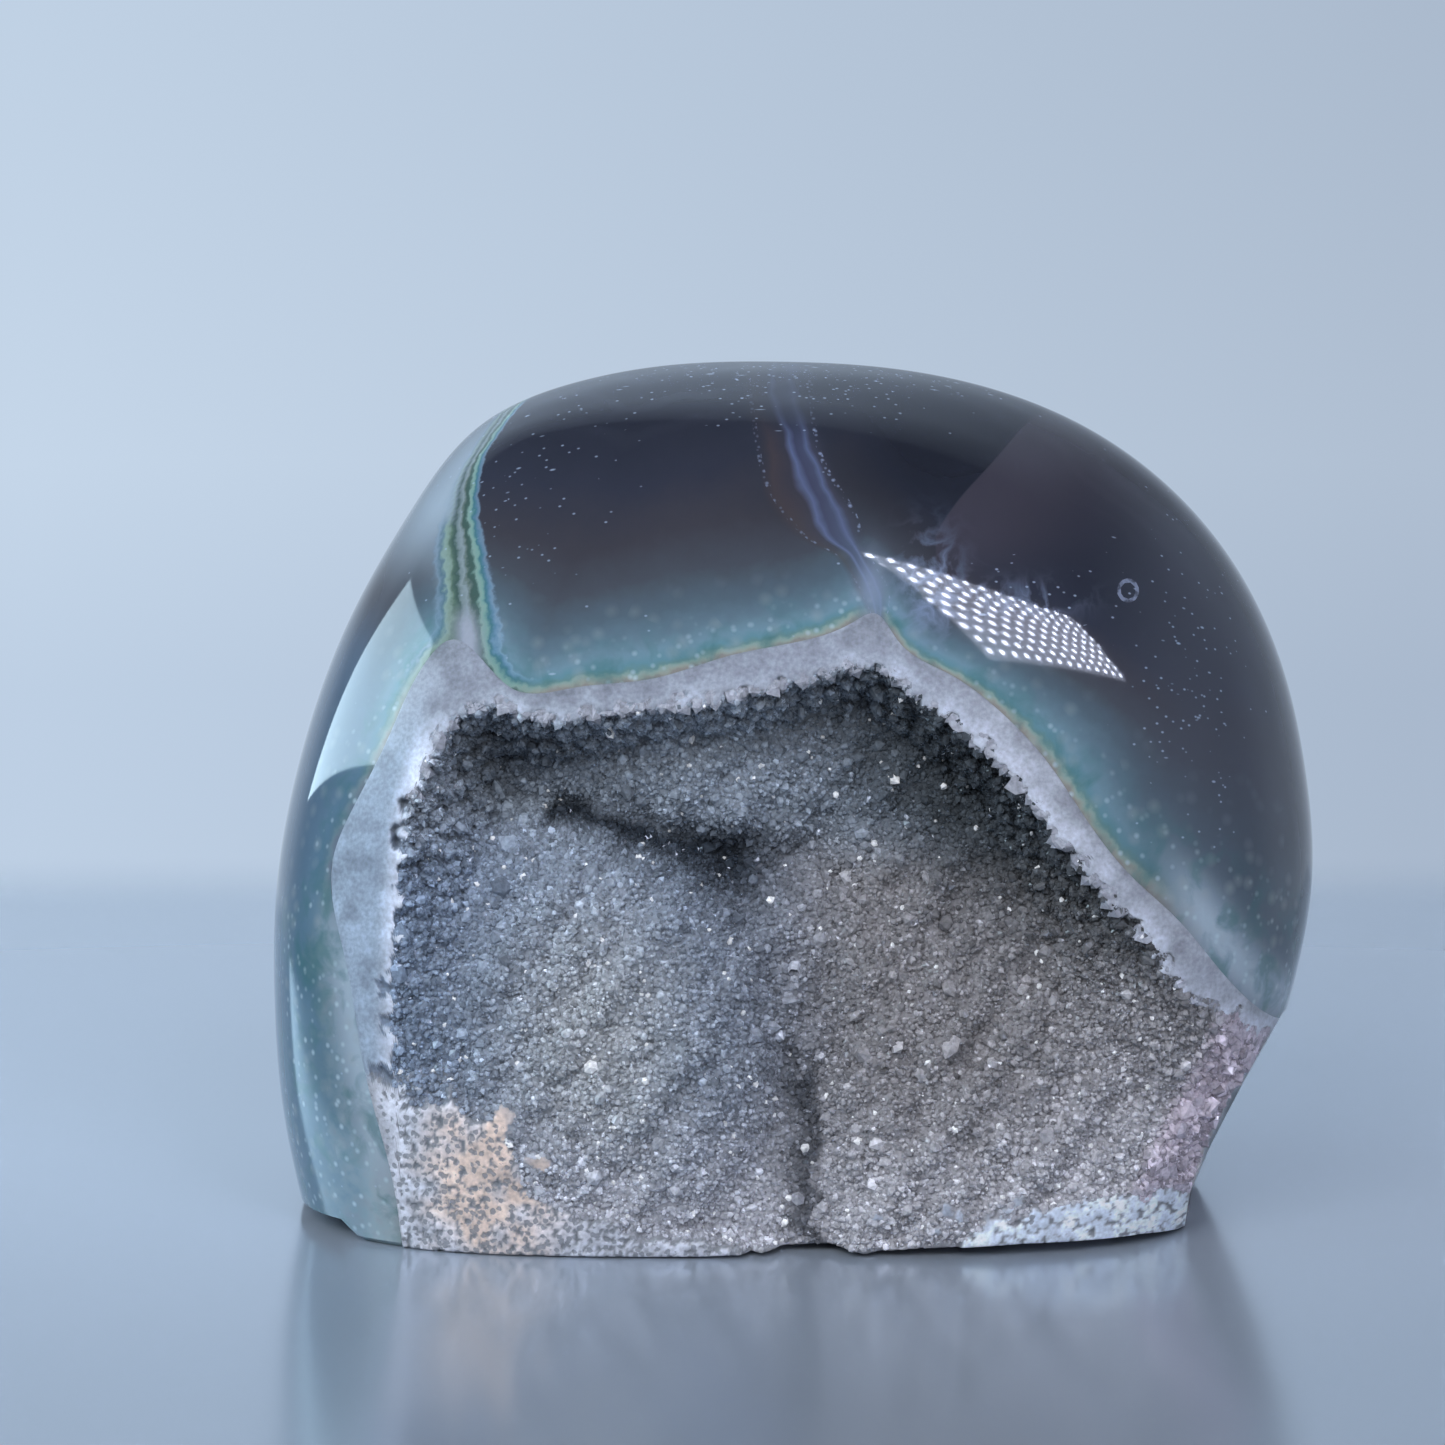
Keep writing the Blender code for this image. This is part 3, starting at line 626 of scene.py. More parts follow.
def polished_agate_material(settings):
    """Dark moss agate, a fibrous quartz ground and buffed to a wet polish: deep and nearly black
    face on, mirror bright where it turns away, and cloudy near the rim, where moss and small white
    balls of quartz show through it."""
    material, shader, tree = new_material("polished dark moss agate")
    place = add_node(tree, "TexCoord", out="Object")
    # Clouds of 17 mm, the fibrous grain of 1.1 mm and strands of moss of 3 mm.
    cloud, grain, strands = (
        add_node(
            tree,
            "TexNoise",
            {"Vector": place, "Scale": scale, "Detail": detail, "Distortion": bent},
        )
        for scale, detail, bent in ((60.0, 4.0, 0.0), (900.0, 5.0, 0.0), (330.0, 6.0, 0.5))
    )
    centred = add_node(tree, "Math", {0: grain, 1: 0.5}, operation="SUBTRACT")
    kept = {
        name: add_node(tree, "Attribute", attribute_name=name, out="Fac") for name in STONE_VALUES
    }
    covers = []  # each further colour, and the shares whose product says how far it covers the rest

    # Away from the rim, over 30 mm: cloudy moss, a warm grey haze, then the dark body.
    wander = add_node(tree, "Math", {0: cloud, 1: 0.5}, operation="SUBTRACT")
    wander = add_node(tree, "Math", {0: wander, 1: kept["rim_mm"]}, operation="MULTIPLY")
    far = add_node(tree, "Math", {0: kept["rim_mm"], 1: kept["spread"]}, operation="MULTIPLY")
    far = add_node(tree, "Math", {0: wander, 1: 1.1, 2: far}, operation="MULTIPLY_ADD")
    far = add_node(tree, "Math", {0: centred, 1: 1.5, 2: far}, operation="MULTIPLY_ADD")
    reach = add_node(tree, "Math", {0: far, 1: 30.0}, operation="DIVIDE")
    tint = set_ramp(
        add_node(tree, "ValToRGB", {"Fac": reach}),
        [
            *((at, colour(tone)) for at, tone in MOSS_TONES),
            (0.520, colour(settings.body_brown)),
            (0.750, colour(settings.body_slate)),
            (1.0, colour(settings.body_violet)),
        ],
    )

    # Painted light: paler at the right flank, where the polish mirrors the backdrop and light shows
    # through the stone. Darkest above the rim's peak.
    covers.append((colour("#454a54"), kept["flank"]))
    covers.append((colour("#1b1e27"), kept["depths"]))

    # Faint bands of agate in the body, seen best from behind: they lie round the hollow.
    turns = add_node(tree, "Math", {0: cloud, 1: 22.0}, operation="MULTIPLY")
    turns = add_node(tree, "Math", {0: kept["rim_mm"], 1: 1.7, 2: turns}, operation="MULTIPLY_ADD")
    bands = add_node(tree, "Math", {0: turns}, operation="SINE")
    bands = add_node(tree, "MapRange", {0: bands, 1: 0.1, 2: 1.0})
    deep = add_node(tree, "MapRange", {0: kept["rim_mm"], 1: 20.0, 2: 40.0, 3: 0.0, 4: 0.34})
    covers.append((colour("#4b505c"), bands, deep))

    # A grey-blue strip at the left of the rim, a painted reflection of the window, and the pale
    # shoulder above it.
    covers.append((colour("#4d6379"), kept["left_side"]))
    covers.append((colour("#97a7b3"), kept["shoulder"]))

    # Right of a healed fracture the agate is a little paler.
    healed = add_node(tree, "MapRange", {0: kept["fracture_mm"], 1: -0.05, 2: 0.10})
    covers.append((colour("#3d3b45"), healed, kept["healed"]))

    # Balls of quartz under the polish: 1.8 mm apart and blurred higher up, 1 mm apart and clear by
    # the rim.
    for scale, blur, near, gone, strength, pale in (
        (560.0, 0.45, 2.0, 10.0, 0.38, "#8d989b"),
        (1000.0, 0.34, 0.9, 5.0, 0.75, "#a9bcc6"),
    ):
        balls = add_node(tree, "TexVoronoi", {"Vector": place, "Scale": scale})
        lone = add_node(
            tree, "Math", {0: balls.node.outputs["Color"], 1: 0.42}, operation="GREATER_THAN"
        )
        ball = add_node(tree, "MapRange", {0: balls, 1: 0.06, 2: blur, 3: strength, 4: 0.0})
        band = add_node(tree, "MapRange", {0: far, 1: near, 2: gone, 3: 1.0, 4: 0.0})
        covers.append((colour(pale), ball, band, lone))

    # Moss strands in the cloudy belt by the rim.
    strand = add_node(tree, "MapRange", {0: strands, 1: 0.48, 2: 0.66, 3: 0.0, 4: 0.6})
    belt = add_node(tree, "MapRange", {0: far, 1: 1.2, 2: 6.0, 3: 1.0, 4: 0.0})
    covers.append((colour("#3c6668"), strand, belt))

    # The banded seam, as layers across its thickness of 6 mm. They turn aside along the crust.
    seam = add_node(
        tree, "Math", {0: centred, 1: 1.5, 2: kept["seam_mm"]}, operation="MULTIPLY_ADD"
    )
    seam = add_node(tree, "Math", {0: seam, 1: 3.0}, operation="ADD")
    seam = add_node(tree, "Math", {0: seam, 1: 6.0}, operation="DIVIDE")
    layers = set_ramp(
        add_node(tree, "ValToRGB", {"Fac": seam}),
        [(at, colour(tone, alpha)) for at, tone, alpha in SEAM_LAYERS],
    )
    covers.append((layers, layers.node.outputs["Alpha"], kept["seam_show"]))
    covers.append((colour("#949ba8"), kept["wedge"]))

    # The fan: a brown haze at the left, violet ribbons, and on both sides a white skin of dots
    # 0.4 mm apart.
    bent = add_node(tree, "Math", {0: cloud, 1: 0.5}, operation="SUBTRACT")
    fan = add_node(tree, "Math", {0: bent, 1: 0.9, 2: kept["fan"]}, operation="MULTIPLY_ADD")
    ribbons = set_ramp(
        add_node(tree, "ValToRGB", {"Fac": fan}),
        [(at, colour(tone, alpha)) for at, tone, alpha in FAN_RIBBONS],
    )
    covers.append((ribbons, ribbons.node.outputs["Alpha"], kept["fan_show"]))
    beads = add_node(tree, "TexVoronoi", {"Vector": place, "Scale": 2300.0})
    bead = add_node(tree, "MapRange", {0: beads, 1: 0.15, 2: 0.50, 3: 1.0, 4: 0.0})
    for side, strength in ((0.13, 0.45), (0.88, 0.75)):
        skin = add_node(tree, "Math", {0: kept["fan"], 1: side, 2: 0.028}, operation="COMPARE")
        covers.append((colour("#8592ac"), skin, bead, kept["fan_show"], strength))

    # Frosty threads below the fracture, and a haze where the fan meets the crust.
    thread = add_node(tree, "Math", {0: strands, 1: 0.5}, operation="SUBTRACT")
    thread = add_node(tree, "Math", {0: thread}, operation="ABSOLUTE")
    thread = add_node(tree, "MapRange", {0: thread, 1: 0.0, 2: 0.09, 3: 0.62, 4: 0.0})
    covers.append((colour("#8190ac"), thread, kept["frost"]))
    covers.append((colour("#818ea3"), kept["haze"]))

    # A small broken ring on the right flank.
    ring = add_node(tree, "Math", {0: kept["ring_mm"], 1: 0.85, 2: 0.16}, operation="COMPARE")
    worn = add_node(tree, "MapRange", {0: grain, 1: 0.44, 2: 0.56, 3: 0.15, 4: 0.8})
    covers.append((colour("#7c869b"), ring, worn))

    # Dust, flecks and short scratches: spots in cells of 0.6 to 1.3 mm, most of them left empty,
    # each drawn out along one direction.
    for scale, turn, stretch, width, share, strength in (
        (1700.0, 0.5, 0.7, 0.22, 0.90, 0.55),
        (900.0, 0.6, 0.30, 0.13, 0.70, 0.65),
        (800.0, -0.5, 0.16, 0.09, 0.90, 0.55),
        (760.0, 1.4, 0.20, 0.07, 0.60, 0.55),
    ):
        stroke = add_node(
            tree,
            "Mapping",
            {"Vector": place, "Rotation": (0.0, turn, 0.0), "Scale": (stretch, 1.0, 1.0)},
        )
        specks = add_node(tree, "TexVoronoi", {"Vector": stroke, "Scale": scale})
        rare = add_node(tree, "Math", {0: kept["dust"], 1: share}, operation="MULTIPLY")
        few = add_node(
            tree, "Math", {0: specks.node.outputs["Color"], 1: rare}, operation="LESS_THAN"
        )
        speck = add_node(
            tree, "MapRange", {0: specks, 1: width * 0.4, 2: width, 3: strength, 4: 0.0}
        )
        covers.append((colour("#9fb0c6"), speck, few))

    for over, amount, *shares in covers:
        for share in shares:
            amount = add_node(tree, "Math", {0: amount, 1: share}, operation="MULTIPLY")
        tint = add_node(tree, "Mix", {0: amount, 6: tint, 7: over}, **MIX_COLOURS)
    finish = {"Base Color": tint, "Roughness": settings.polish_roughness, "IOR": QUARTZ_IOR}
    set_inputs(tree, shader, finish)
    return material


def broken_agate_material():
    """Agate broken across, never polished: a dull waxy face with shell-shaped chips of 1.4 mm and
    clouds of 2.4 mm."""
    material, shader, tree = new_material("broken agate")
    place = add_node(tree, "TexCoord", out="Object")
    chips = add_node(tree, "TexVoronoi", {"Vector": place, "Scale": 700.0}, feature="SMOOTH_F1")
    cloud = add_node(tree, "TexNoise", {"Vector": place, "Scale": 420.0, "Detail": 9.0})
    tint = set_ramp(
        add_node(tree, "ValToRGB", {"Fac": cloud}),
        [(0.36, colour("#45454d")), (0.52, colour("#67656d")), (0.64, colour("#9a969e"))],
    )
    height = add_node(tree, "Math", {0: chips, 1: cloud}, operation="ADD")
    chipped = add_node(tree, "Bump", {"Height": height, "Strength": 0.9, "Distance": 0.0005})
    finish = {"Base Color": tint, "Normal": chipped, "Roughness": 0.5, "IOR": QUARTZ_IOR}
    set_inputs(tree, shader, finish)
    return material


def quartz_material(name, roughness, subsurface, cloudy):
    """Clear to milky quartz: each face is a small mirror over a cloudy grey body, with clouds as
    wide as a grain, 0.4 mm. Its colour comes from the tone that each of its points carries."""
    material, shader, tree = new_material(name)
    place = add_node(tree, "TexCoord", out="Object")
    tone = add_node(tree, "Attribute", attribute_name="tone", out="Color")
    cloud = add_node(tree, "TexNoise", {"Vector": place, "Scale": 2600.0, "Detail": 3.0})
    shade = set_ramp(
        add_node(tree, "ValToRGB", {"Fac": cloud}),
        [(0.30, (1 - cloudy,) * 3 + (1.0,)), (0.70, (1 + 0.8 * cloudy,) * 3 + (1.0,))],
    )
    tint = add_node(tree, "Mix", {0: 1.0, 6: tone, 7: shade}, **MIX_COLOURS, blend_type="MULTIPLY")
    finish = {
        "Base Color": tint,
        "Roughness": roughness,
        "IOR": QUARTZ_IOR,
        "Subsurface Weight": subsurface,
        "Subsurface Radius": (1.0, 1.0, 1.0),
        "Subsurface Scale": 0.7 * MM,
    }
    set_inputs(tree, shader, finish)
    return material


def crust_material():
    """The same quartz cut flush with the polish: milky and mottled with fine fibres, and where it was
    ground at its foot, open pits between the crystals show as small holes 0.65 mm apart, sunk by a
    bump and greyed with painted shade."""
    material = quartz_material("milky quartz crust, cut flush", 0.30, 0.35, 0.22)
    tree = material.node_tree
    shader = tree.nodes["Principled BSDF"]
    place = add_node(tree, "TexCoord", out="Object")
    share = add_node(tree, "Attribute", attribute_name="pits", out="Fac")
    rough = add_node(tree, "TexNoise", {"Vector": place, "Scale": 2400.0, "Detail": 4.0})
    cells = add_node(tree, "TexVoronoi", {"Vector": place, "Scale": 1550.0})
    opened = add_node(
        tree, "Math", {0: cells.node.outputs["Color"], 1: share}, operation="LESS_THAN"
    )
    ragged = add_node(tree, "Math", {0: rough, 1: 0.9, 2: cells}, operation="MULTIPLY_ADD")
    hole = add_node(tree, "MapRange", {0: ragged, 1: 0.80, 2: 0.92, 3: 0.8, 4: 0.0})
    hole = add_node(tree, "Math", {0: hole, 1: opened}, operation="MULTIPLY")
    tint = shader.inputs["Base Color"].links[0].from_socket
    # Painted shade: the open pits are greyed.
    tint = add_node(tree, "Mix", {0: hole, 6: tint, 7: colour("#82868c")}, **MIX_COLOURS)
    sunk = add_node(
        tree, "Bump", {"Height": hole, "Strength": 0.5, "Distance": 0.0002}, invert=True
    )
    set_inputs(tree, shader, {"Base Color": tint, "Normal": sunk})
    return material


def tone_of(hex_code):
    """A hex colour as an array of linear red, green and blue."""
    return np.array(colour(hex_code)[:3])


def lay_over(tone, covers):
    """Lays further tones over a tone, one after the other, each by its share from 0 to 1."""
    for hex_code, share in covers:
        tone = tone + (tone_of(hex_code) - tone) * np.expand_dims(share, -1)
    return tone


def druse_tone(x, z):
    """The druse's colour over the front view, as tones that run into each other: blue grey at the
    upper left, paler on the swelling at the lower left, warm grey on the slope at the right, and
    whitish towards the foot. Painted shade darkens the upper part towards the right and makes it
    nearly black close under the rim there, and it darkens a pocket under the rim at the upper left and
    the clefts."""
    lobe = bump(x, z, -0.0175, 0.0190, 0.0100, 0.0150)
    right = smooth_step(-0.013, 0.008, x)
    high = smooth_step(0.032, 0.040, z)
    low = 1 - smooth_step(0.002, 0.018, z)
    # Where the overhanging rim throws painted shade, at the upper right.
    under = smooth_step(0.004, 0.014, x) * smooth_step(0.026, 0.041, z + 0.5 * (x - 0.010))
    far_right = smooth_step(0.014, 0.030, x) * (1 - smooth_step(0.012, 0.028, z))
    covers = (
        ("#abafb3", lobe),
        ("#8b898b", right),
        ("#97a1ad", high),
        # Painted shade under the rim: the upper part darker towards the right, and nearly black close
        # under the rim.
        ("#676f78", high * smooth_step(-0.008, 0.008, x)),
        ("#3b4044", 0.85 * under),
        # Painted shade in a pocket under the rim at the upper left.
        ("#474e57", 0.7 * bump(x, z, -0.0240, 0.0440, 0.0075, 0.0045)),
        ("#a3a2a6", far_right),
        ("#c0c0c6", 0.75 * low),
        # Painted shade in the clefts between the lobes.
        ("#252b33", 0.96 * cleft_share(x, z)),
    )
    return lay_over(tone_of("#78879b"), covers)


def with_alpha(tone):
    """Colours with an alpha of one."""
    return np.concatenate([tone, np.ones(tone.shape[:-1] + (1,))], axis=-1)


class StoneSettings(bpy.types.PropertyGroup):
    """Sizes and colours of the polished agate."""

    sides: bpy.props.IntProperty(
        name="Sides", description="Points round each level of the dome", default=440, min=24
    )
    rings: bpy.props.IntProperty(
        name="Rings", description="Levels of the dome from foot to top", default=190, min=12
    )
    body_slate: bpy.props.StringProperty(
        name="Slate", description="Main colour of the agate", default="#2d303c"
    )
    body_violet: bpy.props.StringProperty(
        name="Violet", description="Its colour furthest from the rim", default="#272a35"
    )
    body_brown: bpy.props.StringProperty(
        name="Brown", description="Its warmer haze above the moss", default="#38383f"
    )
    polish_roughness: bpy.props.FloatProperty(
        name="Polish", description="Roughness of the polished face", default=0.045, subtype="FACTOR"
    )


class DruseSettings(bpy.types.PropertyGroup):
    """Sizes of the quartz lining."""

    columns: bpy.props.IntProperty(
        name="Columns", description="Points across the crust", default=420, min=24
    )
    rows: bpy.props.IntProperty(
        name="Rows", description="Points up the crust", default=220, min=24
    )
    spacing: bpy.props.FloatProperty(
        name="Spacing",
        description="Room that each crystal keeps for itself",
        default=0.00038,
        unit="LENGTH",
        precision=5,
    )
    seed: bpy.props.IntProperty(name="Seed", description="Where the crystals fall", default=7)


class StageSettings(bpy.types.PropertyGroup):
    """The table, the lights and the camera."""

    table_half: bpy.props.FloatProperty(
        name="Table", description="Half the table's width", default=0.168, unit="LENGTH"
    )
    table_fade: bpy.props.FloatProperty(
        name="Fade", description="Width over which its edge fades", default=0.022, unit="LENGTH"
    )
    lens: bpy.props.FloatProperty(name="Lens", description="Focal length in mm", default=100.0)


class AGATE_OT_polished_stone(bpy.types.Operator):
    """Make the polished agate with its hollow and its broken corner"""

    bl_idname = "agate.polished_stone"
    bl_label = "Polished stone"

    def execute(self, context):
        settings = context.scene.agate_stone
        coarse = 1
        sides, rings = settings.sides // coarse, settings.rings // coarse
        turn = np.linspace(0.0, 2 * math.pi, sides, endpoint=False)
        rise = TOP * np.sin(np.linspace(0.0, math.pi / 2, rings + 1)[1:-1])
        height = np.concatenate([[0.0, FOOT_BEVEL], rise[rise > 2 * FOOT_BEVEL]])
        inset = np.where(height == 0.0, FOOT_BEVEL, 0.0)
        points = dome_points(turn[None, :], height[:, None], inset[:, None])
        count = points.shape[0] * sides
        apex = (float(LEFT[-1, 1]), APEX_Y, TOP)
        points = np.concatenate([points.reshape(-1, 3), [(0.0, 0.0, 0.0), apex]])
        first = np.arange(sides)
        last = first + count - sides
        foot_fan = np.stack([np.roll(first, -1), first, np.full(sides, count)], axis=1)
        top_fan = np.stack([last, np.roll(last, -1), np.full(sides, count + 1)], axis=1)
        quads = grid_faces(len(height), sides, wraps=True)
        dome = add_mesh("polished_agate", points, [quads, foot_fan, top_fan])
        materials = [polished_agate_material(settings), broken_agate_material()]
        stone = cut_stone(dome, materials)
        colour_stone(stone)
        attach(stone, "root")
        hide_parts("agate_stone")
        return {"FINISHED"}


def cut_stone(dome, materials):
    """Takes the hollow and the broken corner out of the dome."""
    across, up = np.meshgrid(np.arange(-0.046, 0.0525, 0.0015), np.arange(-0.007, 0.0625, 0.0015))
    room = sheet_solid("hollow_room", across, up, hollow_y(across, up), IN_FRONT)
    line = natural_cubic(CRUST_OUTLINE, 12)
    line = line[line[:, 1] > CUTTER_FOOT + 0.2 * MM]
    loop = np.concatenate([line, [(CUTTER_RIGHT, CUTTER_FOOT), (line[0, 0], CUTTER_FOOT)]])
    mouth = prism("hollow_mouth", loop, loop, IN_FRONT, BEHIND)
    edge = np.array([(OUTSIDE, BREAK_EDGE[0][1] + 0.0004)] + BREAK_EDGE + [(OUTSIDE, -0.0040)])
    run = np.array([BREAK_RUN[0], BREAK_RUN[2]])
    ends = [edge + run * (y - BREAK_PLANE_Y) for y in (IN_FRONT, -IN_FRONT)]
    corner = prism("broken_corner", *ends, IN_FRONT, -IN_FRONT)
    chip_end = np.array(FOOT_CHIP) - (0.0, CHIP_DROP)
    chip = prism("foot_chip", FOOT_CHIP, chip_end, IN_FRONT, CHIP_BACK)
    cutters = (room, mouth, corner, chip)
    for piece in (dome, *cutters):
        for material in materials:
            piece.data.materials.append(material)
    for cutter in cutters:
        numbers = np.ones(len(cutter.data.polygons), np.int32)
        cutter.data.polygons.foreach_set("material_index", numbers)
    for target, operation, other in (
        (mouth, "INTERSECT", room),
        (dome, "DIFFERENCE", mouth),
        (dome, "DIFFERENCE", corner),
        (dome, "DIFFERENCE", chip),
    ):
        step = target.modifiers.new(operation.lower(), "BOOLEAN")
        step.operation = operation
        step.solver = "EXACT"
        step.object = other
    bpy.context.view_layer.update()
    finished = dome.evaluated_get(bpy.context.evaluated_depsgraph_get())
    mesh = bpy.data.meshes.new_from_object(finished)
    dome.modifiers.clear()
    dome.data = mesh
    for cutter in cutters:
        bpy.data.objects.remove(cutter)
    mesh.set_sharp_from_angle(angle=math.radians(32))
    return dome


def colour_stone(stone):
    """Stores on the stone how far each point lies from the rim, the seam, the fracture and the small
    ring, in mm, its share of the way across the fan, and where its pale, dark, dusty and frosty
    places are, from 0 to 1."""
    x, y, z = points = mesh_points(stone.data).T
    line = natural_cubic(CRUST_OUTLINE, 6)
    line = line[(line[:, 1] > 0.0) & (line[:, 0] < 0.044)]
    rim_line = np.stack([line[:, 0], dome_front(line[:, 0], line[:, 1]), line[:, 1]], axis=1)
    rim = distance_to_line(points.T, rim_line) / MM
    front = 1 - smooth_step(-0.012, 0.006, y)
    low_left = (1 - smooth_step(-0.0370, -0.0330, x)) * (1 - smooth_step(0.024, 0.034, z))
    low_right = smooth_step(0.022, 0.034, x) * (1 - smooth_step(0.030, 0.046, z))
    high_up = smooth_step(0.046, 0.058, z)
    seam = (x - sheet_x(SEAM_SHEET, y)) / MM
    seam = seam / np.interp(z, [0.053, 0.057, 0.067, 0.077], [1.15, 1.0, 0.6, 0.5])
    aside = 1 - smooth_step(3.0, 6.0, np.abs(seam))
    beyond = 1 - smooth_step(-1.5, 0.2, seam)
    gone = (1 - smooth_step(-0.9, -0.2, seam)) * smooth_step(0.0625, 0.0640, z) * front
    low, high = sheet_x(FAN_LEFT_SHEET, y), sheet_x(FAN_RIGHT_SHEET, y)
    fracture = (x - sheet_x(FRACTURE_SHEET, y)) / MM
    spot = {name: bump(x, z, *place) for name, place in STONE_SPOTS.items()}
    right_high = 0.85 * smooth_step(0.004, 0.014, x) * high_up
    above = 0.22 * smooth_step(0.045, 0.053, z)
    below = smooth_step(0.030, 0.036, x) * (1 - smooth_step(0.036, 0.046, z))
    pale_right = 1.05 * below * np.exp(-(((rim - 1.8) / 2.3) ** 2))
    pale_left = 0.95 * low_left * np.exp(-((rim / 2.4) ** 2))
    shoulder = 0.92 * beyond * smooth_step(0.0560, 0.0655, z) + pale_right + pale_left
    # The strip at the left where a painted reflection of the window lies.
    left_side = (1 - smooth_step(-0.039, -0.035, x)) * (1 - smooth_step(0.05, 0.058, z))
    healed = (1 - smooth_step(2.0, 16.0, fracture)) * smooth_step(0.057, 0.063, z)
    scratched = spot["scratched_left"] + spot["scratched_right"]
    dust = 0.09 + spot["crown"] + 0.5 * scratched + 0.6 * spot["dusty_flank"]
    ring = np.hypot(x - RING_PLACE[0], z - RING_PLACE[1]) / MM
    values = {
        "rim_mm": rim,
        "spread": 1.0 + right_high + above - 0.75 * low_left - 0.5 * low_right,
        # Painted light on the right flank.
        "flank": 0.75 * smooth_step(0.024, 0.037, x) * front,
        "depths": 0.75 * spot["depths"] * front,
        "seam_mm": np.sign(seam) * soft_min(np.abs(seam), rim + 1.1, 0.8),
        "seam_show": (1 - 0.85 * gone) * aside,
        "shoulder": shoulder * front,
        "wedge": np.exp(-((seam / 0.9) ** 2)) * (1 - smooth_step(1.0, 4.0, rim)),
        "left_side": 0.7 * left_side * front,
        "fan": 0.12 + 0.76 * (x - low) / np.maximum(high - low, 0.3 * MM),
        "fan_show": 1 - 0.75 * smooth_step(0.0695, 0.0735, z),
        "fracture_mm": fracture,
        "healed": 0.8 * healed * front,
        "dust": np.clip(dust, 0.0, 1.0),
        "frost": np.clip(1.3 * spot["upper_frost"] + 0.7 * spot["lower_frost"], 0.0, 1.0),
        "haze": 0.7 * spot["haze"],
        "ring_mm": ring + 9.0 * (y > 0),
    }
    for name in STONE_VALUES:
        keep_values(stone.data, name, values[name])


def sheet_x(sheet, y):
    """x of a sheet of growth at y."""
    line = natural_cubic(sheet, 12)
    return np.interp(y, line[:, 0], line[:, 1])


class AGATE_OT_quartz_crust(bpy.types.Operator):
    """Make the quartz crust with its flush rim"""

    bl_idname = "agate.quartz_crust"
    bl_label = "Quartz crust"

    def execute(self, context):
        settings = context.scene.agate_druse
        coarse = 1
        columns, rows = settings.columns // coarse, settings.rows // coarse
        x, low, high = crust_columns(columns)
        share = np.linspace(0.0, 1.0, rows)[:, None]
        z = low + (high - low) * share
        x = np.broadcast_to(x, z.shape)
        depth = lining_depth(x, z)
        tip, chance = cell_noise(x, z, 0.62 * MM, 1.0)
        grain = 0.00050 * (tip - 0.35) + 0.00012 * (chance - 0.5)
        raw = depth + grain  # the depth before the polish took off what stood proud
        y = np.minimum(dome_front(x, z) + np.maximum(raw, 0.0), hollow_y(x, z) - 0.5 * MM)
        front = np.stack([x, y, z], axis=-1)
        back_share = np.linspace(0.0, 1.0, BACK_ROWS)[:, None]
        back_z = low + (high - low) * back_share
        back_x = np.broadcast_to(x[:1], back_z.shape)
        back_y = hollow_y(back_x, back_z)
        lean = (1 - back_share) ** 2 * smooth_step(0.034, 0.0355, back_x)
        run = (back_y - dome_front(back_x, back_z)) * lean
        back_z = np.maximum(back_z + BREAK_RUN[2] * run, 0.1 * MM)
        back = np.stack([back_x + BREAK_RUN[0] * run, back_y, back_z], axis=-1)
        count = rows * columns
        front_faces = grid_faces(rows, columns)
        back_faces = grid_faces(BACK_ROWS, columns)[:, ::-1] + count
        i = np.arange(columns - 1)
        foot = np.stack([i, i + count, i + 1 + count, i + 1], axis=1)
        top = i + count - columns
        back_top = i + count + (BACK_ROWS - 1) * columns
        crown = np.stack([top, top + 1, back_top + 1, back_top], axis=1)
        points = np.concatenate([front.reshape(-1, 3), back.reshape(-1, 3)])
        crust = add_mesh("quartz_crust", points, [front_faces, back_faces, foot, crown])
        tone = crust_tone(x, z, raw)
        tone = np.concatenate([tone.reshape(-1, 3), np.full((BACK_ROWS * columns, 3), 0.2)])
        keep_values(crust.data, "tone", with_alpha(tone))
        on_x, _, on_z = mesh_points(crust.data).T
        fewer = 1 - 0.8 * smooth_step(0.004, 0.012, on_x)
        keep_values(crust.data, "pits", 0.85 * ground_flush(on_x, on_z) * fewer)
        face_outward(crust)
        crust.data.materials.append(crust_material())
        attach(crust, "root")
        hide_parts("druzy_crust")
        return {"FINISHED"}


def crust_columns(count):
    """The crust in the front view as upright columns: x from its left tip to its right tip, and the
    lowest and highest point of each, which meet at both tips."""
    line = natural_cubic(CRUST_OUTLINE, 24)
    tip = int(line[:, 0].argmin())
    under, over = line[: tip + 1][::-1], line[tip:]

    def lowest(x):
        low = np.maximum(np.interp(x, under[:, 0], under[:, 1]), foot_line(x))
        broken = break_line(x, BREAK_PLANE_Y)
        for _ in range(4):
            broken = break_line(x, dome_front(x, np.maximum(broken, 0.0)))
        return np.maximum(low, np.where(x > CORNER_FROM, broken, -1.0))

    def highest(x):
        return np.interp(x, over[:, 0], over[:, 1])

    trial = np.linspace(0.042, 0.047, 400)
    right_tip = trial[np.argmax(lowest(trial) >= highest(trial))]
    share = np.linspace(0.0, 1.0, count)
    share = 0.7 * share + 0.3 * (1 - np.cos(math.pi * share)) / 2
    x = line[tip, 0] + (right_tip - line[tip, 0]) * share
    low, high = lowest(x), highest(x)
    low[0] = high[0] = line[tip, 1]
    low[-1] = high[-1]
    return x[None, :], np.minimum(low, high)[None, :], high[None, :]


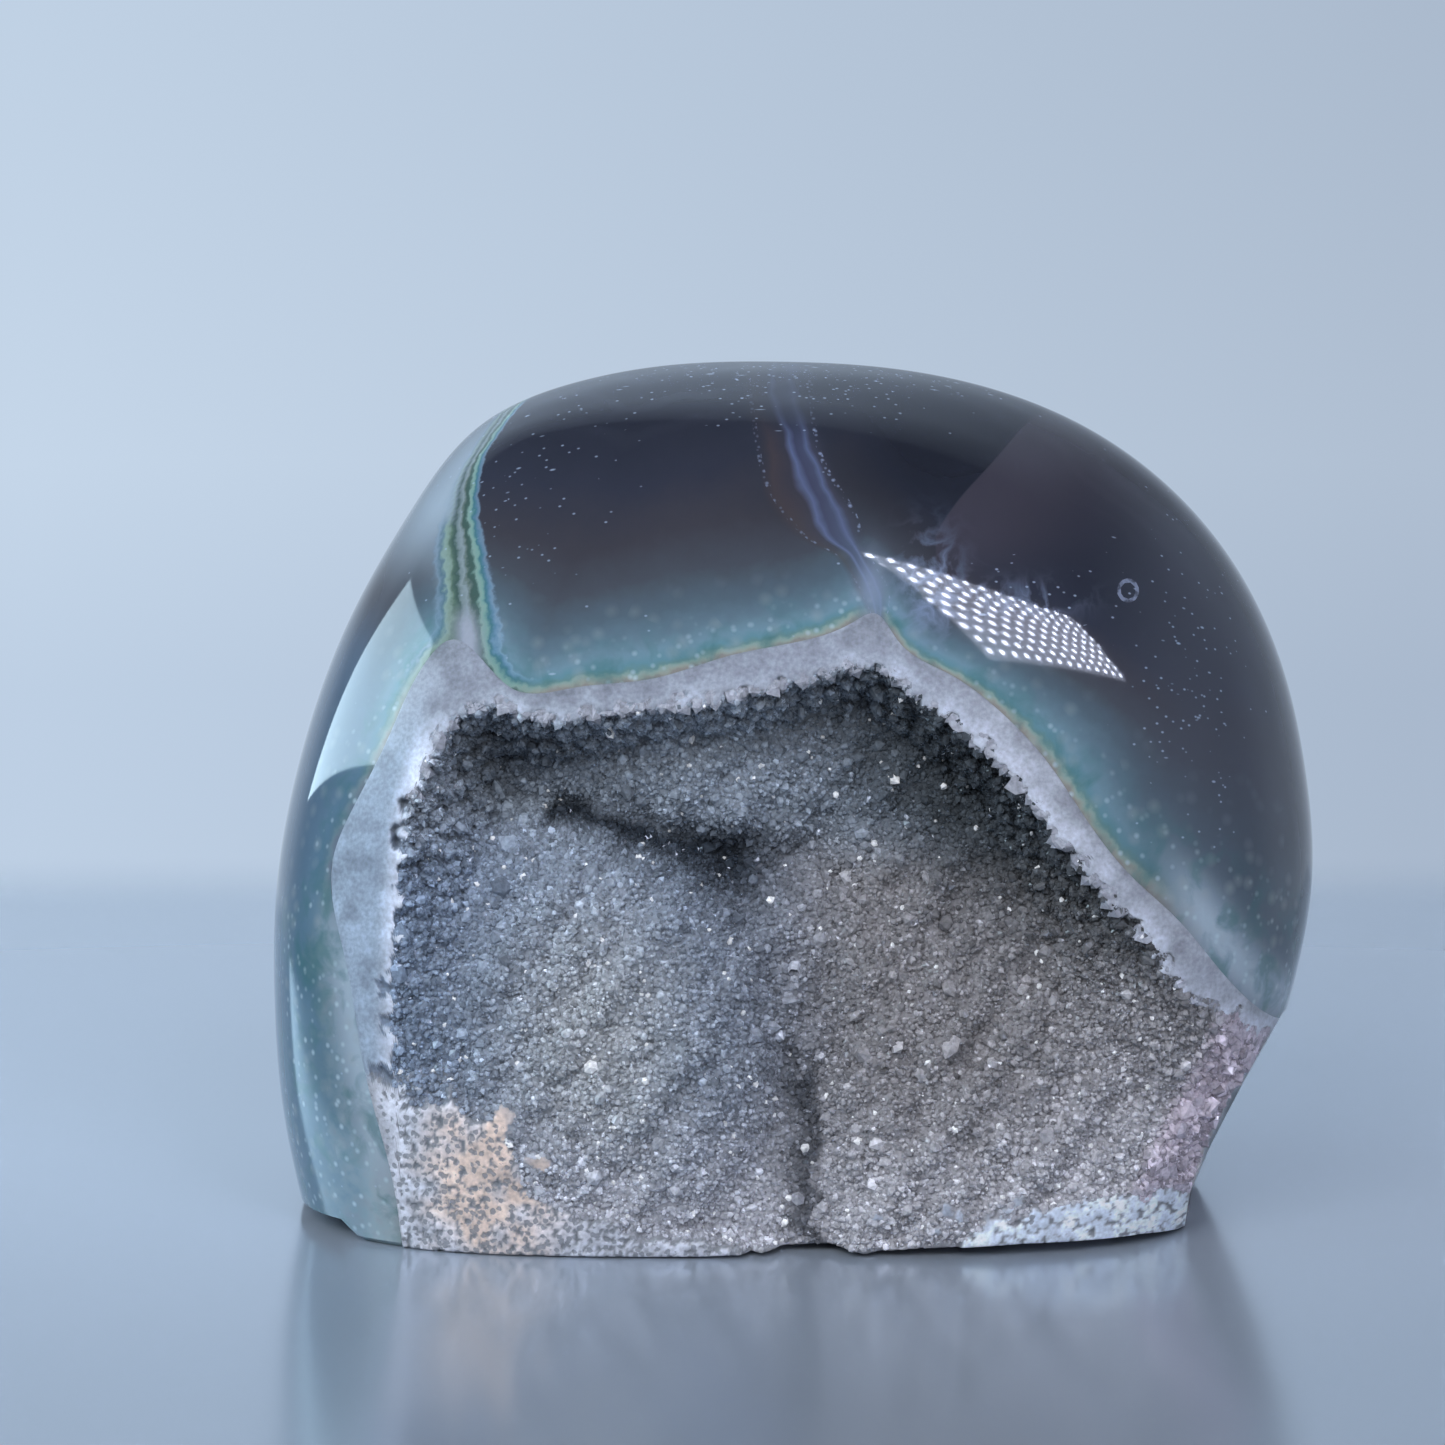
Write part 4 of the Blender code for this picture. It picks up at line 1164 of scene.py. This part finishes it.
def crust_tone(x, z, raw):
    """The crust's colour: milky where the rim was cut flush, whiter at the left, cream on the ground
    patch, icy at the lower right, and under the crystals the druse's tone with its painted shade,
    greyer by its foot."""
    flush = 1 - smooth_step(-0.00002, 0.00010, raw)
    streak = 0.7 * value_noise(x, z, 1.5 * MM, 6.0) + 0.3 * value_noise(x, z, 0.45 * MM, 16.0)
    inner = smooth_step(-0.0024, 0.0002, distance_in(x, z, OPENING_OUTLINE))
    ground = ground_flush(x, z)
    patch = bump(x - 1.5 * MM, z - 1.0 * MM, *GROUND_PATCH)
    cream = patch * (0.9 + 0.7 * value_noise(x, z, 2.0 * MM, 31.0))
    left = (1 - smooth_step(-0.034, -0.029, x)) * (1 - smooth_step(0.042, 0.052, z))
    covers = (
        ("#a9afba", smooth_step(0.008, 0.020, x)),
        ("#c8cedb", left),
        ("#8ba2b6", 0.7 * left * (1 - inner)),
        ("#bfc2cb", ground),
        ("#d0bdb1", np.clip(1.8 * cream - 0.2, 0.0, 1.0)),
        ("#d6e0ee", ground * smooth_step(0.006, 0.016, x)),
    )
    white = lay_over(tone_of("#989fab"), covers)
    white = white * ((0.76 + 0.46 * inner) * (1.0 + 0.40 * streak))[..., None]
    # The druse's tone brings its painted shade along.
    tone = lay_over(druse_tone(x, z) * 0.85, (("#7b7f84", 0.8 * ground),))
    return np.clip(tone + (white - tone) * flush[..., None], 0.0, 1.0)


class AGATE_OT_druse_crystals(bpy.types.Operator):
    """Cover the hollow's lining with quartz crystals"""

    bl_idname = "agate.druse_crystals"
    bl_label = "Druse crystals"

    def execute(self, context):
        settings = context.scene.agate_druse
        chance = np.random.default_rng(settings.seed)
        spacing = settings.spacing * 1.0
        x, z = druse_places(chance, spacing)
        step = 0.15 * MM
        y = dome_front(x, z) + lining_depth(x, z)
        slope_x = (lining_y(x + step, z) - lining_y(x - step, z)) / (2 * step)
        slope_z = (lining_y(x, z + step) - lining_y(x, z - step)) / (2 * step)
        normal = np.stack([slope_x, -np.ones_like(x), slope_z], axis=1)
        normal /= np.linalg.norm(normal, axis=1, keepdims=True)
        axis = normal + chance.normal(0.0, 0.42, normal.shape)
        size = spacing * chance.lognormal(-0.12, 0.30, len(x))
        # Along the broken corner the crystals are bigger and rosy.
        in_from_break = break_x(y, z) - x
        big = (1 - smooth_step(0.0040, 0.0062, in_from_break)) * (z < 0.0225)
        size = size * (1 + 1.3 * big * chance.uniform(0.3, 1.0, len(x)))
        middles = np.stack([x, y, z], axis=1)
        tone = lay_over(druse_tone(x, z), (("#b0a6b2", 0.8 * big),))
        # Here and there a large one stands out, and a few are painted near white as painted glints.
        large = chance.random(len(x)) < 0.016
        size = size * (1 + chance.uniform(0.4, 1.5, len(x)) * large)
        tone = tone * (chance.lognormal(0.0, 0.26, len(x)) * (1 + 0.25 * large))[:, None]
        painted_glints = chance.random(len(x)) < 0.012
        tone = tone + (1.0 - tone) * (0.85 * painted_glints * ~big.astype(bool))[:, None]
        upper = z - UPPER_SPLIT_HEIGHT - UPPER_SPLIT_RISE * x > 0
        lower_region = np.where(x > LOWER_SPLIT_X, 2, 0) + (z > FOOT_SPLIT_HEIGHT)
        region = np.where(upper, 4 + (x > UPPER_SPLIT_X), lower_region)
        quartz = quartz_material("druzy quartz crystals", 0.09, 0.0, 0.28)
        for number, name in enumerate(DRUSE_PIECES):
            chosen = region == number
            shoulder = chance.uniform(0.0, 0.7, chosen.sum())
            points, groups = crystals(middles[chosen], axis[chosen], size[chosen], shoulder, chance)
            druse = add_mesh(name, points, groups, smooth=False)
            tones = np.repeat(np.clip(tone[chosen], 0.0, 1.0), CRYSTAL_POINTS, axis=0)
            keep_values(druse.data, "tone", with_alpha(tones))
            druse.data.materials.append(quartz)
            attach(druse, "root")
            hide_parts("druzy_crust")
        return {"FINISHED"}


def lining_y(x, z):
    """y of the lining that crystals stand on."""
    return dome_front(x, z) + np.maximum(lining_depth(x, z), 0.0)


def druse_places(chance, spacing):
    """Places over the opening, evenly spread over the lining's own area, no two in one small cube."""
    count = int(9 / (spacing / MM) ** 2 * 5000)
    x = chance.uniform(-0.042, 0.045, count)
    z = chance.uniform(0.0, 0.056, count)
    clear = z > foot_line(x) + 0.0002
    clear &= x < break_x(dome_front(x, z), z) - 0.0003
    clear &= distance_in(x, z, OPENING_OUTLINE) > -0.0003
    x, z = x[clear], z[clear]
    depth = lining_depth(x, z)
    raised = (depth > 0.00004) & (ground_flush(x, z) < 0.7)
    x, z = x[raised], z[raised]
    step = 0.3 * MM
    y = lining_y(x, z)
    slope_x = (lining_y(x + step, z) - y) / step
    slope_z = (lining_y(x, z + step) - y) / step
    steep = np.sqrt(1 + slope_x**2 + slope_z**2)
    lucky = chance.uniform(0.0, 3.0, len(x)) < steep
    x, y, z = x[lucky], y[lucky], z[lucky]
    cells = np.floor(np.stack([x, y, z], axis=1) / spacing).astype(int)
    _, first = np.unique(cells, axis=0, return_index=True)
    return x[first], z[first]


def crystals(middles, axis, size, shoulder, chance):
    """Six-sided prisms with a six-sided point, open underneath and sunk into what they stand on: a
    ring at the foot, a ring at the shoulder and the tip. The polish takes off whatever stands proud
    of it. Returns the points, crystal by crystal, and the faces."""
    axis = axis / np.linalg.norm(axis, axis=1, keepdims=True)
    other = chance.normal(0.0, 1.0, axis.shape)
    side = np.cross(axis, other)
    side /= np.linalg.norm(side, axis=1, keepdims=True)
    cross = np.cross(axis, side)
    turn = np.arange(CRYSTAL_SIDES) * math.pi / 3
    squash = chance.uniform(0.7, 1.0, len(size))
    ring = side[:, None] * np.cos(turn)[None, :, None]
    ring = ring + cross[:, None] * (np.sin(turn)[None, :] * squash[:, None])[..., None]
    radius = (0.62 * size)[:, None, None]
    low = middles[:, None] + 0.92 * ring * radius - (0.75 * size)[:, None, None] * axis[:, None]
    high = middles[:, None] + ring * radius + (0.45 * shoulder * size)[:, None, None] * axis[:, None]
    drift = chance.uniform(-0.25, 0.25, (len(size), 2)) * size[:, None]
    tip = middles + axis * ((0.45 * shoulder + 0.62) * size)[:, None]
    tip = tip + side * drift[:, :1] + cross * drift[:, 1:]
    points = np.concatenate([low, high, tip[:, None]], axis=1)
    points[..., 2] = np.maximum(points[..., 2], foot_line(points[..., 0]))
    points[..., 0] = np.minimum(points[..., 0], break_x(points[..., 1], points[..., 2]))
    points[..., 1] = np.maximum(points[..., 1], dome_front(points[..., 0], points[..., 2]))
    first = CRYSTAL_POINTS * np.arange(len(size))[:, None, None]
    i = np.arange(CRYSTAL_SIDES)
    j = np.roll(i, -1)
    upper_i, upper_j = i + CRYSTAL_SIDES, j + CRYSTAL_SIDES
    last = np.full(CRYSTAL_SIDES, CRYSTAL_POINTS - 1)
    walls = (first + np.stack([i, j, upper_j, upper_i], axis=1)).reshape(-1, 4)
    point = (first + np.stack([upper_i, upper_j, last], axis=1)).reshape(-1, 3)
    return points, [walls, point]


class AGATE_OT_rim_teeth(bpy.types.Operator):
    """Make the crystals that the polish cut through along the rim"""

    bl_idname = "agate.rim_teeth"
    bl_label = "Rim teeth"

    def execute(self, context):
        chance = np.random.default_rng(context.scene.agate_druse.seed + 1)
        line = natural_cubic(OPENING_OUTLINE, 40)
        gaps = np.linalg.norm(np.diff(line, axis=0), axis=1)
        along = np.concatenate([[0.0], np.cumsum(gaps)])
        count = 620
        at = np.sort(chance.uniform(0.004, along[-1] - 0.008, count))
        x = np.interp(at, along, line[:, 0])
        z = np.interp(at, along, line[:, 1])
        ahead_x = np.interp(at + 0.5 * MM, along, line[:, 0]) - x
        ahead_z = np.interp(at + 0.5 * MM, along, line[:, 1]) - z
        length = np.hypot(ahead_x, ahead_z)
        inward = np.stack([ahead_z / length, -ahead_x / length], axis=1)
        size = chance.lognormal(-0.35, 0.35, count) * MM
        lean = chance.normal(0.0, 0.45, count)
        cos, sin = np.cos(lean), np.sin(lean)
        forward = chance.uniform(-0.25, 0.45, count)
        leaning = (inward[:, 0] * cos - inward[:, 1] * sin, inward[:, 0] * sin + inward[:, 1] * cos)
        axis = np.stack([leaning[0], forward, leaning[1]], axis=1)
        y = dome_front(x, z) + chance.uniform(0.0, 0.5, count) * MM
        middles = np.stack([x, y, z], axis=1)
        keep = (z > 0.002) & (x < 0.0415) & (x > -0.0335 + 0.05 * np.maximum(0.044 - z, 0.0))
        shoulder = chance.uniform(0.2, 1.6, keep.sum())
        points, groups = crystals(middles[keep], axis[keep], size[keep], shoulder, chance)
        teeth = add_mesh("rim_teeth", points, groups, smooth=False)
        tone = tone_of("#a9adb8") * chance.uniform(0.6, 1.0, (keep.sum(), 1))
        tones = np.repeat(tone, CRYSTAL_POINTS, axis=0)
        keep_values(teeth.data, "tone", with_alpha(tones))
        teeth.data.materials.append(quartz_material("cut quartz crystals of the rim", 0.2, 0.0, 0.28))
        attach(teeth, "root")
        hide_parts("druzy_crust")
        return {"FINISHED"}


class AGATE_OT_stage(bpy.types.Operator):
    """Make the table, the lights, the room and the camera"""

    bl_idname = "agate.stage"
    bl_label = "Table, light and camera"

    def execute(self, context):
        settings = context.scene.agate_stage
        context.scene.view_settings.view_transform = "Standard"
        make_camera(settings)
        make_table(settings)
        make_room(context.scene)
        make_lights()
        return {"FINISHED"}


def make_camera(settings):
    """The photograph's view: a long lens, a little above the stone and looking slightly down."""
    data = bpy.data.cameras.new("camera")
    data.lens = settings.lens
    data.sensor_width = 36.0
    camera = add_object("camera", data)
    camera.location = CAMERA_PLACE
    camera.rotation_euler = (math.radians(CAMERA_TILT), 0.0, 0.0)
    bpy.context.scene.camera = camera


def direction(azimuth, elevation):
    """Unit vector at degrees from -Y towards +X, and above the horizon."""
    turn, rise = math.radians(azimuth), math.radians(elevation)
    flat = math.cos(rise)
    return np.array([flat * math.sin(turn), -flat * math.cos(turn), math.sin(rise)])


def make_table(settings):
    """A satin table top with soft edges, a little darker towards the camera."""
    half = settings.table_half + settings.table_fade
    x, y = np.meshgrid(np.linspace(-half, half, 9), np.linspace(-half, half, 9))
    points = np.stack([x, y, np.zeros_like(x)], axis=-1)
    table = add_mesh("table_top", points, [grid_faces(9, 9)], smooth=False)
    material, shader, tree = new_material("satin anodised table top")
    place = add_node(tree, "TexCoord", out="Object")
    apart = add_node(tree, "SeparateXYZ", {"Vector": place})
    across = add_node(tree, "Math", {0: apart}, operation="ABSOLUTE")
    along = add_node(tree, "Math", {0: apart.node.outputs["Y"]}, operation="ABSOLUTE")
    far = add_node(tree, "Math", {0: across, 1: along}, operation="MAXIMUM")
    shown = add_node(
        tree,
        "MapRange",
        {0: far, 1: settings.table_half - settings.table_fade, 2: half, 3: 1.0, 4: 0.0},
        interpolation_type="SMOOTHSTEP",
    )
    back = add_node(
        tree,
        "MapRange",
        {0: apart.node.outputs["Y"], 1: -0.09, 2: 0.03},
        interpolation_type="SMOOTHSTEP",
    )
    tint = add_node(
        tree, "Mix", {0: back, 6: colour("#a4aeb9"), 7: colour("#c6d2df")}, **MIX_COLOURS
    )
    finish = {"Base Color": tint, "Metallic": 0.55, "Roughness": 0.18, "Alpha": shown}
    set_inputs(tree, shader, finish)
    table.data.materials.append(material)


def make_room(scene):
    """A pale blue backdrop to look at, a little darker to the right. What the polish mirrors is
    bright behind it and dark before it, as in a dim room with a lit backdrop, which dims as it
    rises, and a lit ceiling over that, which ends at the right."""
    world = bpy.data.worlds.new("room")
    world.use_nodes = True
    scene.world = world
    tree = world.node_tree
    tree.nodes.clear()
    dark = colour("#3c424c")
    way = add_node(tree, "TexCoord", out="Generated")
    apart = add_node(tree, "SeparateXYZ", {"Vector": way})
    towards = add_node(
        tree, "VectorMath", {0: way, 1: (0.35, 0.94, -0.12)}, out="Value", operation="DOT_PRODUCT"
    )
    lit = add_node(
        tree, "MapRange", {0: towards, 1: 0.10, 2: 0.62}, interpolation_type="SMOOTHSTEP"
    )
    across = add_node(tree, "MapRange", {0: apart, 1: -0.17, 2: 0.17})
    wall = add_node(
        tree, "Mix", {0: across, 6: colour("#c5d6e9"), 7: colour("#b0bfd2")}, **MIX_COLOURS
    )
    mirrored = add_node(tree, "Mix", {0: lit, 6: dark, 7: wall}, **MIX_COLOURS)
    edge = add_node(tree, "MapRange", {0: towards, 1: 0.0, 2: 0.02, 4: 0.10})
    behind = add_node(tree, "MapRange", {0: towards, 1: 0.0, 2: 0.24, 3: edge, 4: 0.9})
    leftward = add_node(tree, "MapRange", {0: apart, 1: 0.0, 2: 0.5, 3: behind, 4: 0.0})
    overhead = add_node(
        tree, "MapRange", {0: apart.node.outputs["Z"], 1: 0.20, 2: 0.60, 4: leftward}
    )
    dimmed = add_node(
        tree, "MapRange", {0: apart.node.outputs["Z"], 1: 0.08, 2: 0.45, 3: 0.0, 4: 0.45}
    )
    mirrored = add_node(tree, "Mix", {0: dimmed, 6: mirrored, 7: dark}, **MIX_COLOURS)
    mirrored = add_node(
        tree, "Mix", {0: overhead, 6: mirrored, 7: (1.05, 1.30, 1.62, 1.0)}, **MIX_COLOURS
    )
    height = add_node(tree, "MapRange", {0: apart.node.outputs["Z"], 1: -0.12, 2: 0.10})
    shade = set_ramp(
        add_node(tree, "ValToRGB", {"Fac": height}),
        [
            (0.0, (0.92, 0.93, 0.95, 1.0)),
            (0.25, (1.0, 1.0, 1.0, 1.0)),
            (0.65, (0.95, 0.955, 0.96, 1.0)),
            (1.0, (0.92, 0.93, 0.94, 1.0)),
        ],
    )
    backdrop = add_node(
        tree, "Mix", {0: 1.0, 6: wall, 7: shade}, **MIX_COLOURS, blend_type="MULTIPLY"
    )
    rays = add_node(tree, "LightPath", out="Is Camera Ray")
    glossy = rays.node.outputs["Is Glossy Ray"]
    shown = add_node(tree, "Mix", {0: glossy, 6: colour("#747b86"), 7: mirrored}, **MIX_COLOURS)
    shown = add_node(tree, "Mix", {0: rays, 6: shown, 7: backdrop}, **MIX_COLOURS)
    light = add_node(tree, "Background", {"Color": shown, "Strength": 1.0})
    add_node(tree, "OutputWorld", {"Surface": light})


def make_lights():
    """A window at the left and a dotted lamp panel at the upper right, both mirrored in the polish,
    and two fills that are not."""
    window = add_lamp_sheet("window", ((-114, 31), (-77, 37), (-65, 22), (-129, 3)), 1.1, 0.0)
    material, shader, tree = new_material("daylight in the window")
    down = add_node(tree, "Attribute", attribute_name="down", out="Fac")
    bright = add_node(tree, "MapRange", {0: down, 3: 7.0, 4: 8.5})
    glow = {"Base Color": BLACK, "Emission Color": colour("#bbd6e6"), "Emission Strength": bright}
    set_inputs(tree, shader, glow)
    window.data.materials.append(material)
    add_panel()
    add_fill("fill", direction(-32, 36) * 0.9, 6.6, "#e3e6ec")
    add_fill("low_fill", direction(14, 20), 3.0, "#e8e6e6")


def add_lamp_sheet(name, corners, away, sag):
    """A four-cornered sheet of light, given by the directions of its corners from the stone: upper
    left, upper right, lower right and lower left. Its upper edge hangs down in the middle."""
    ends = np.array([direction(*way) * away for way in corners]) + LAMP_TARGET
    u, v = np.meshgrid(np.linspace(0.0, 1.0, 15), np.linspace(0.0, 1.0, 9))
    top = ends[0] + (ends[1] - ends[0]) * u[..., None]
    top[..., 2] -= sag * np.sin(math.pi * u)
    low = ends[3] + (ends[2] - ends[3]) * u[..., None]
    made = add_mesh(name, top + (low - top) * v[..., None], [grid_faces(*u.shape)], smooth=False)
    keep_values(made.data, "across", u.ravel())
    keep_values(made.data, "down", v.ravel())
    made.visible_camera = False
    return made


def add_fill(name, place, power, tint):
    """A rectangular lamp that faces the stone and that the polish doesn't mirror."""
    data = bpy.data.lights.new(name, "AREA")
    data.shape = "RECTANGLE"
    data.size, data.size_y = 0.7, 0.5
    data.energy = power
    data.color = colour(tint)[:3]
    lamp = add_object(name, data)
    lamp.location = place + LAMP_TARGET
    away = place / np.linalg.norm(place)
    lamp.rotation_euler = (math.acos(away[2]), 0.0, math.atan2(away[0], -away[1]))
    lamp.visible_glossy = False


def add_panel():
    """The lamp panel: 14 wavy strips of bright dots over a dim blue sheet."""
    panel = add_lamp_sheet("lamp_panel", ((8, 57), (42, 45), (47, 33), (19, 37)), 0.9, 0.05)
    material, shader, tree = new_material("lamp panel")
    across = add_node(tree, "Attribute", attribute_name="across", out="Fac")
    down = add_node(tree, "Attribute", attribute_name="down", out="Fac")
    sway = add_node(tree, "Math", {0: down, 1: 5.5}, operation="MULTIPLY")
    sway = add_node(tree, "Math", {0: sway}, operation="SINE")
    swaying = add_node(tree, "Math", {0: sway, 1: 0.035, 2: across}, operation="MULTIPLY_ADD")
    masks = []
    for place, count, low, high in ((swaying, 14, 0.65, 0.98), (down, 9, 0.1, 0.7)):
        turns = add_node(tree, "Math", {0: place, 1: count * 2 * math.pi}, operation="MULTIPLY")
        wave = add_node(tree, "Math", {0: turns}, operation="SINE")
        masks.append(add_node(tree, "MapRange", {0: wave, 1: low, 2: high}))
    dots = add_node(tree, "Math", {0: masks[0], 1: masks[1]}, operation="MULTIPLY")
    bright = add_node(tree, "MapRange", {0: dots, 3: 3.6, 4: 120.0})
    glow = {"Base Color": BLACK, "Emission Color": colour("#dce4ff"), "Emission Strength": bright}
    set_inputs(tree, shader, glow)
    panel.data.materials.append(material)


class AGATE_PT_panel(bpy.types.Panel):
    """The add-on's place in the 3D view's sidebar"""

    bl_label = "Druzy agate"
    bl_idname = "AGATE_PT_panel"
    bl_space_type = "VIEW_3D"
    bl_region_type = "UI"
    bl_category = "Agate"

    def draw(self, context):
        for step in STEPS:
            self.layout.operator(f"agate.{step}")
        for group in (context.scene.agate_stone, context.scene.agate_druse, context.scene.agate_stage):
            for name in group.__annotations__:
                self.layout.prop(group, name)


STEPS = ("polished_stone", "quartz_crust", "druse_crystals", "rim_teeth", "stage")
CLASSES = (
    StoneSettings,
    DruseSettings,
    StageSettings,
    AGATE_OT_polished_stone,
    AGATE_OT_quartz_crust,
    AGATE_OT_druse_crystals,
    AGATE_OT_rim_teeth,
    AGATE_OT_stage,
    AGATE_PT_panel,
)


def register():
    for kind in CLASSES:
        bpy.utils.register_class(kind)
    bpy.types.Scene.agate_stone = bpy.props.PointerProperty(type=StoneSettings)
    bpy.types.Scene.agate_druse = bpy.props.PointerProperty(type=DruseSettings)
    bpy.types.Scene.agate_stage = bpy.props.PointerProperty(type=StageSettings)


def unregister():
    del bpy.types.Scene.agate_stage
    del bpy.types.Scene.agate_druse
    del bpy.types.Scene.agate_stone
    for kind in reversed(CLASSES):
        bpy.utils.unregister_class(kind)


def main():
    register()
    for step in STEPS:
        getattr(bpy.ops.agate, step)()


if __name__ == "__main__":
    main()
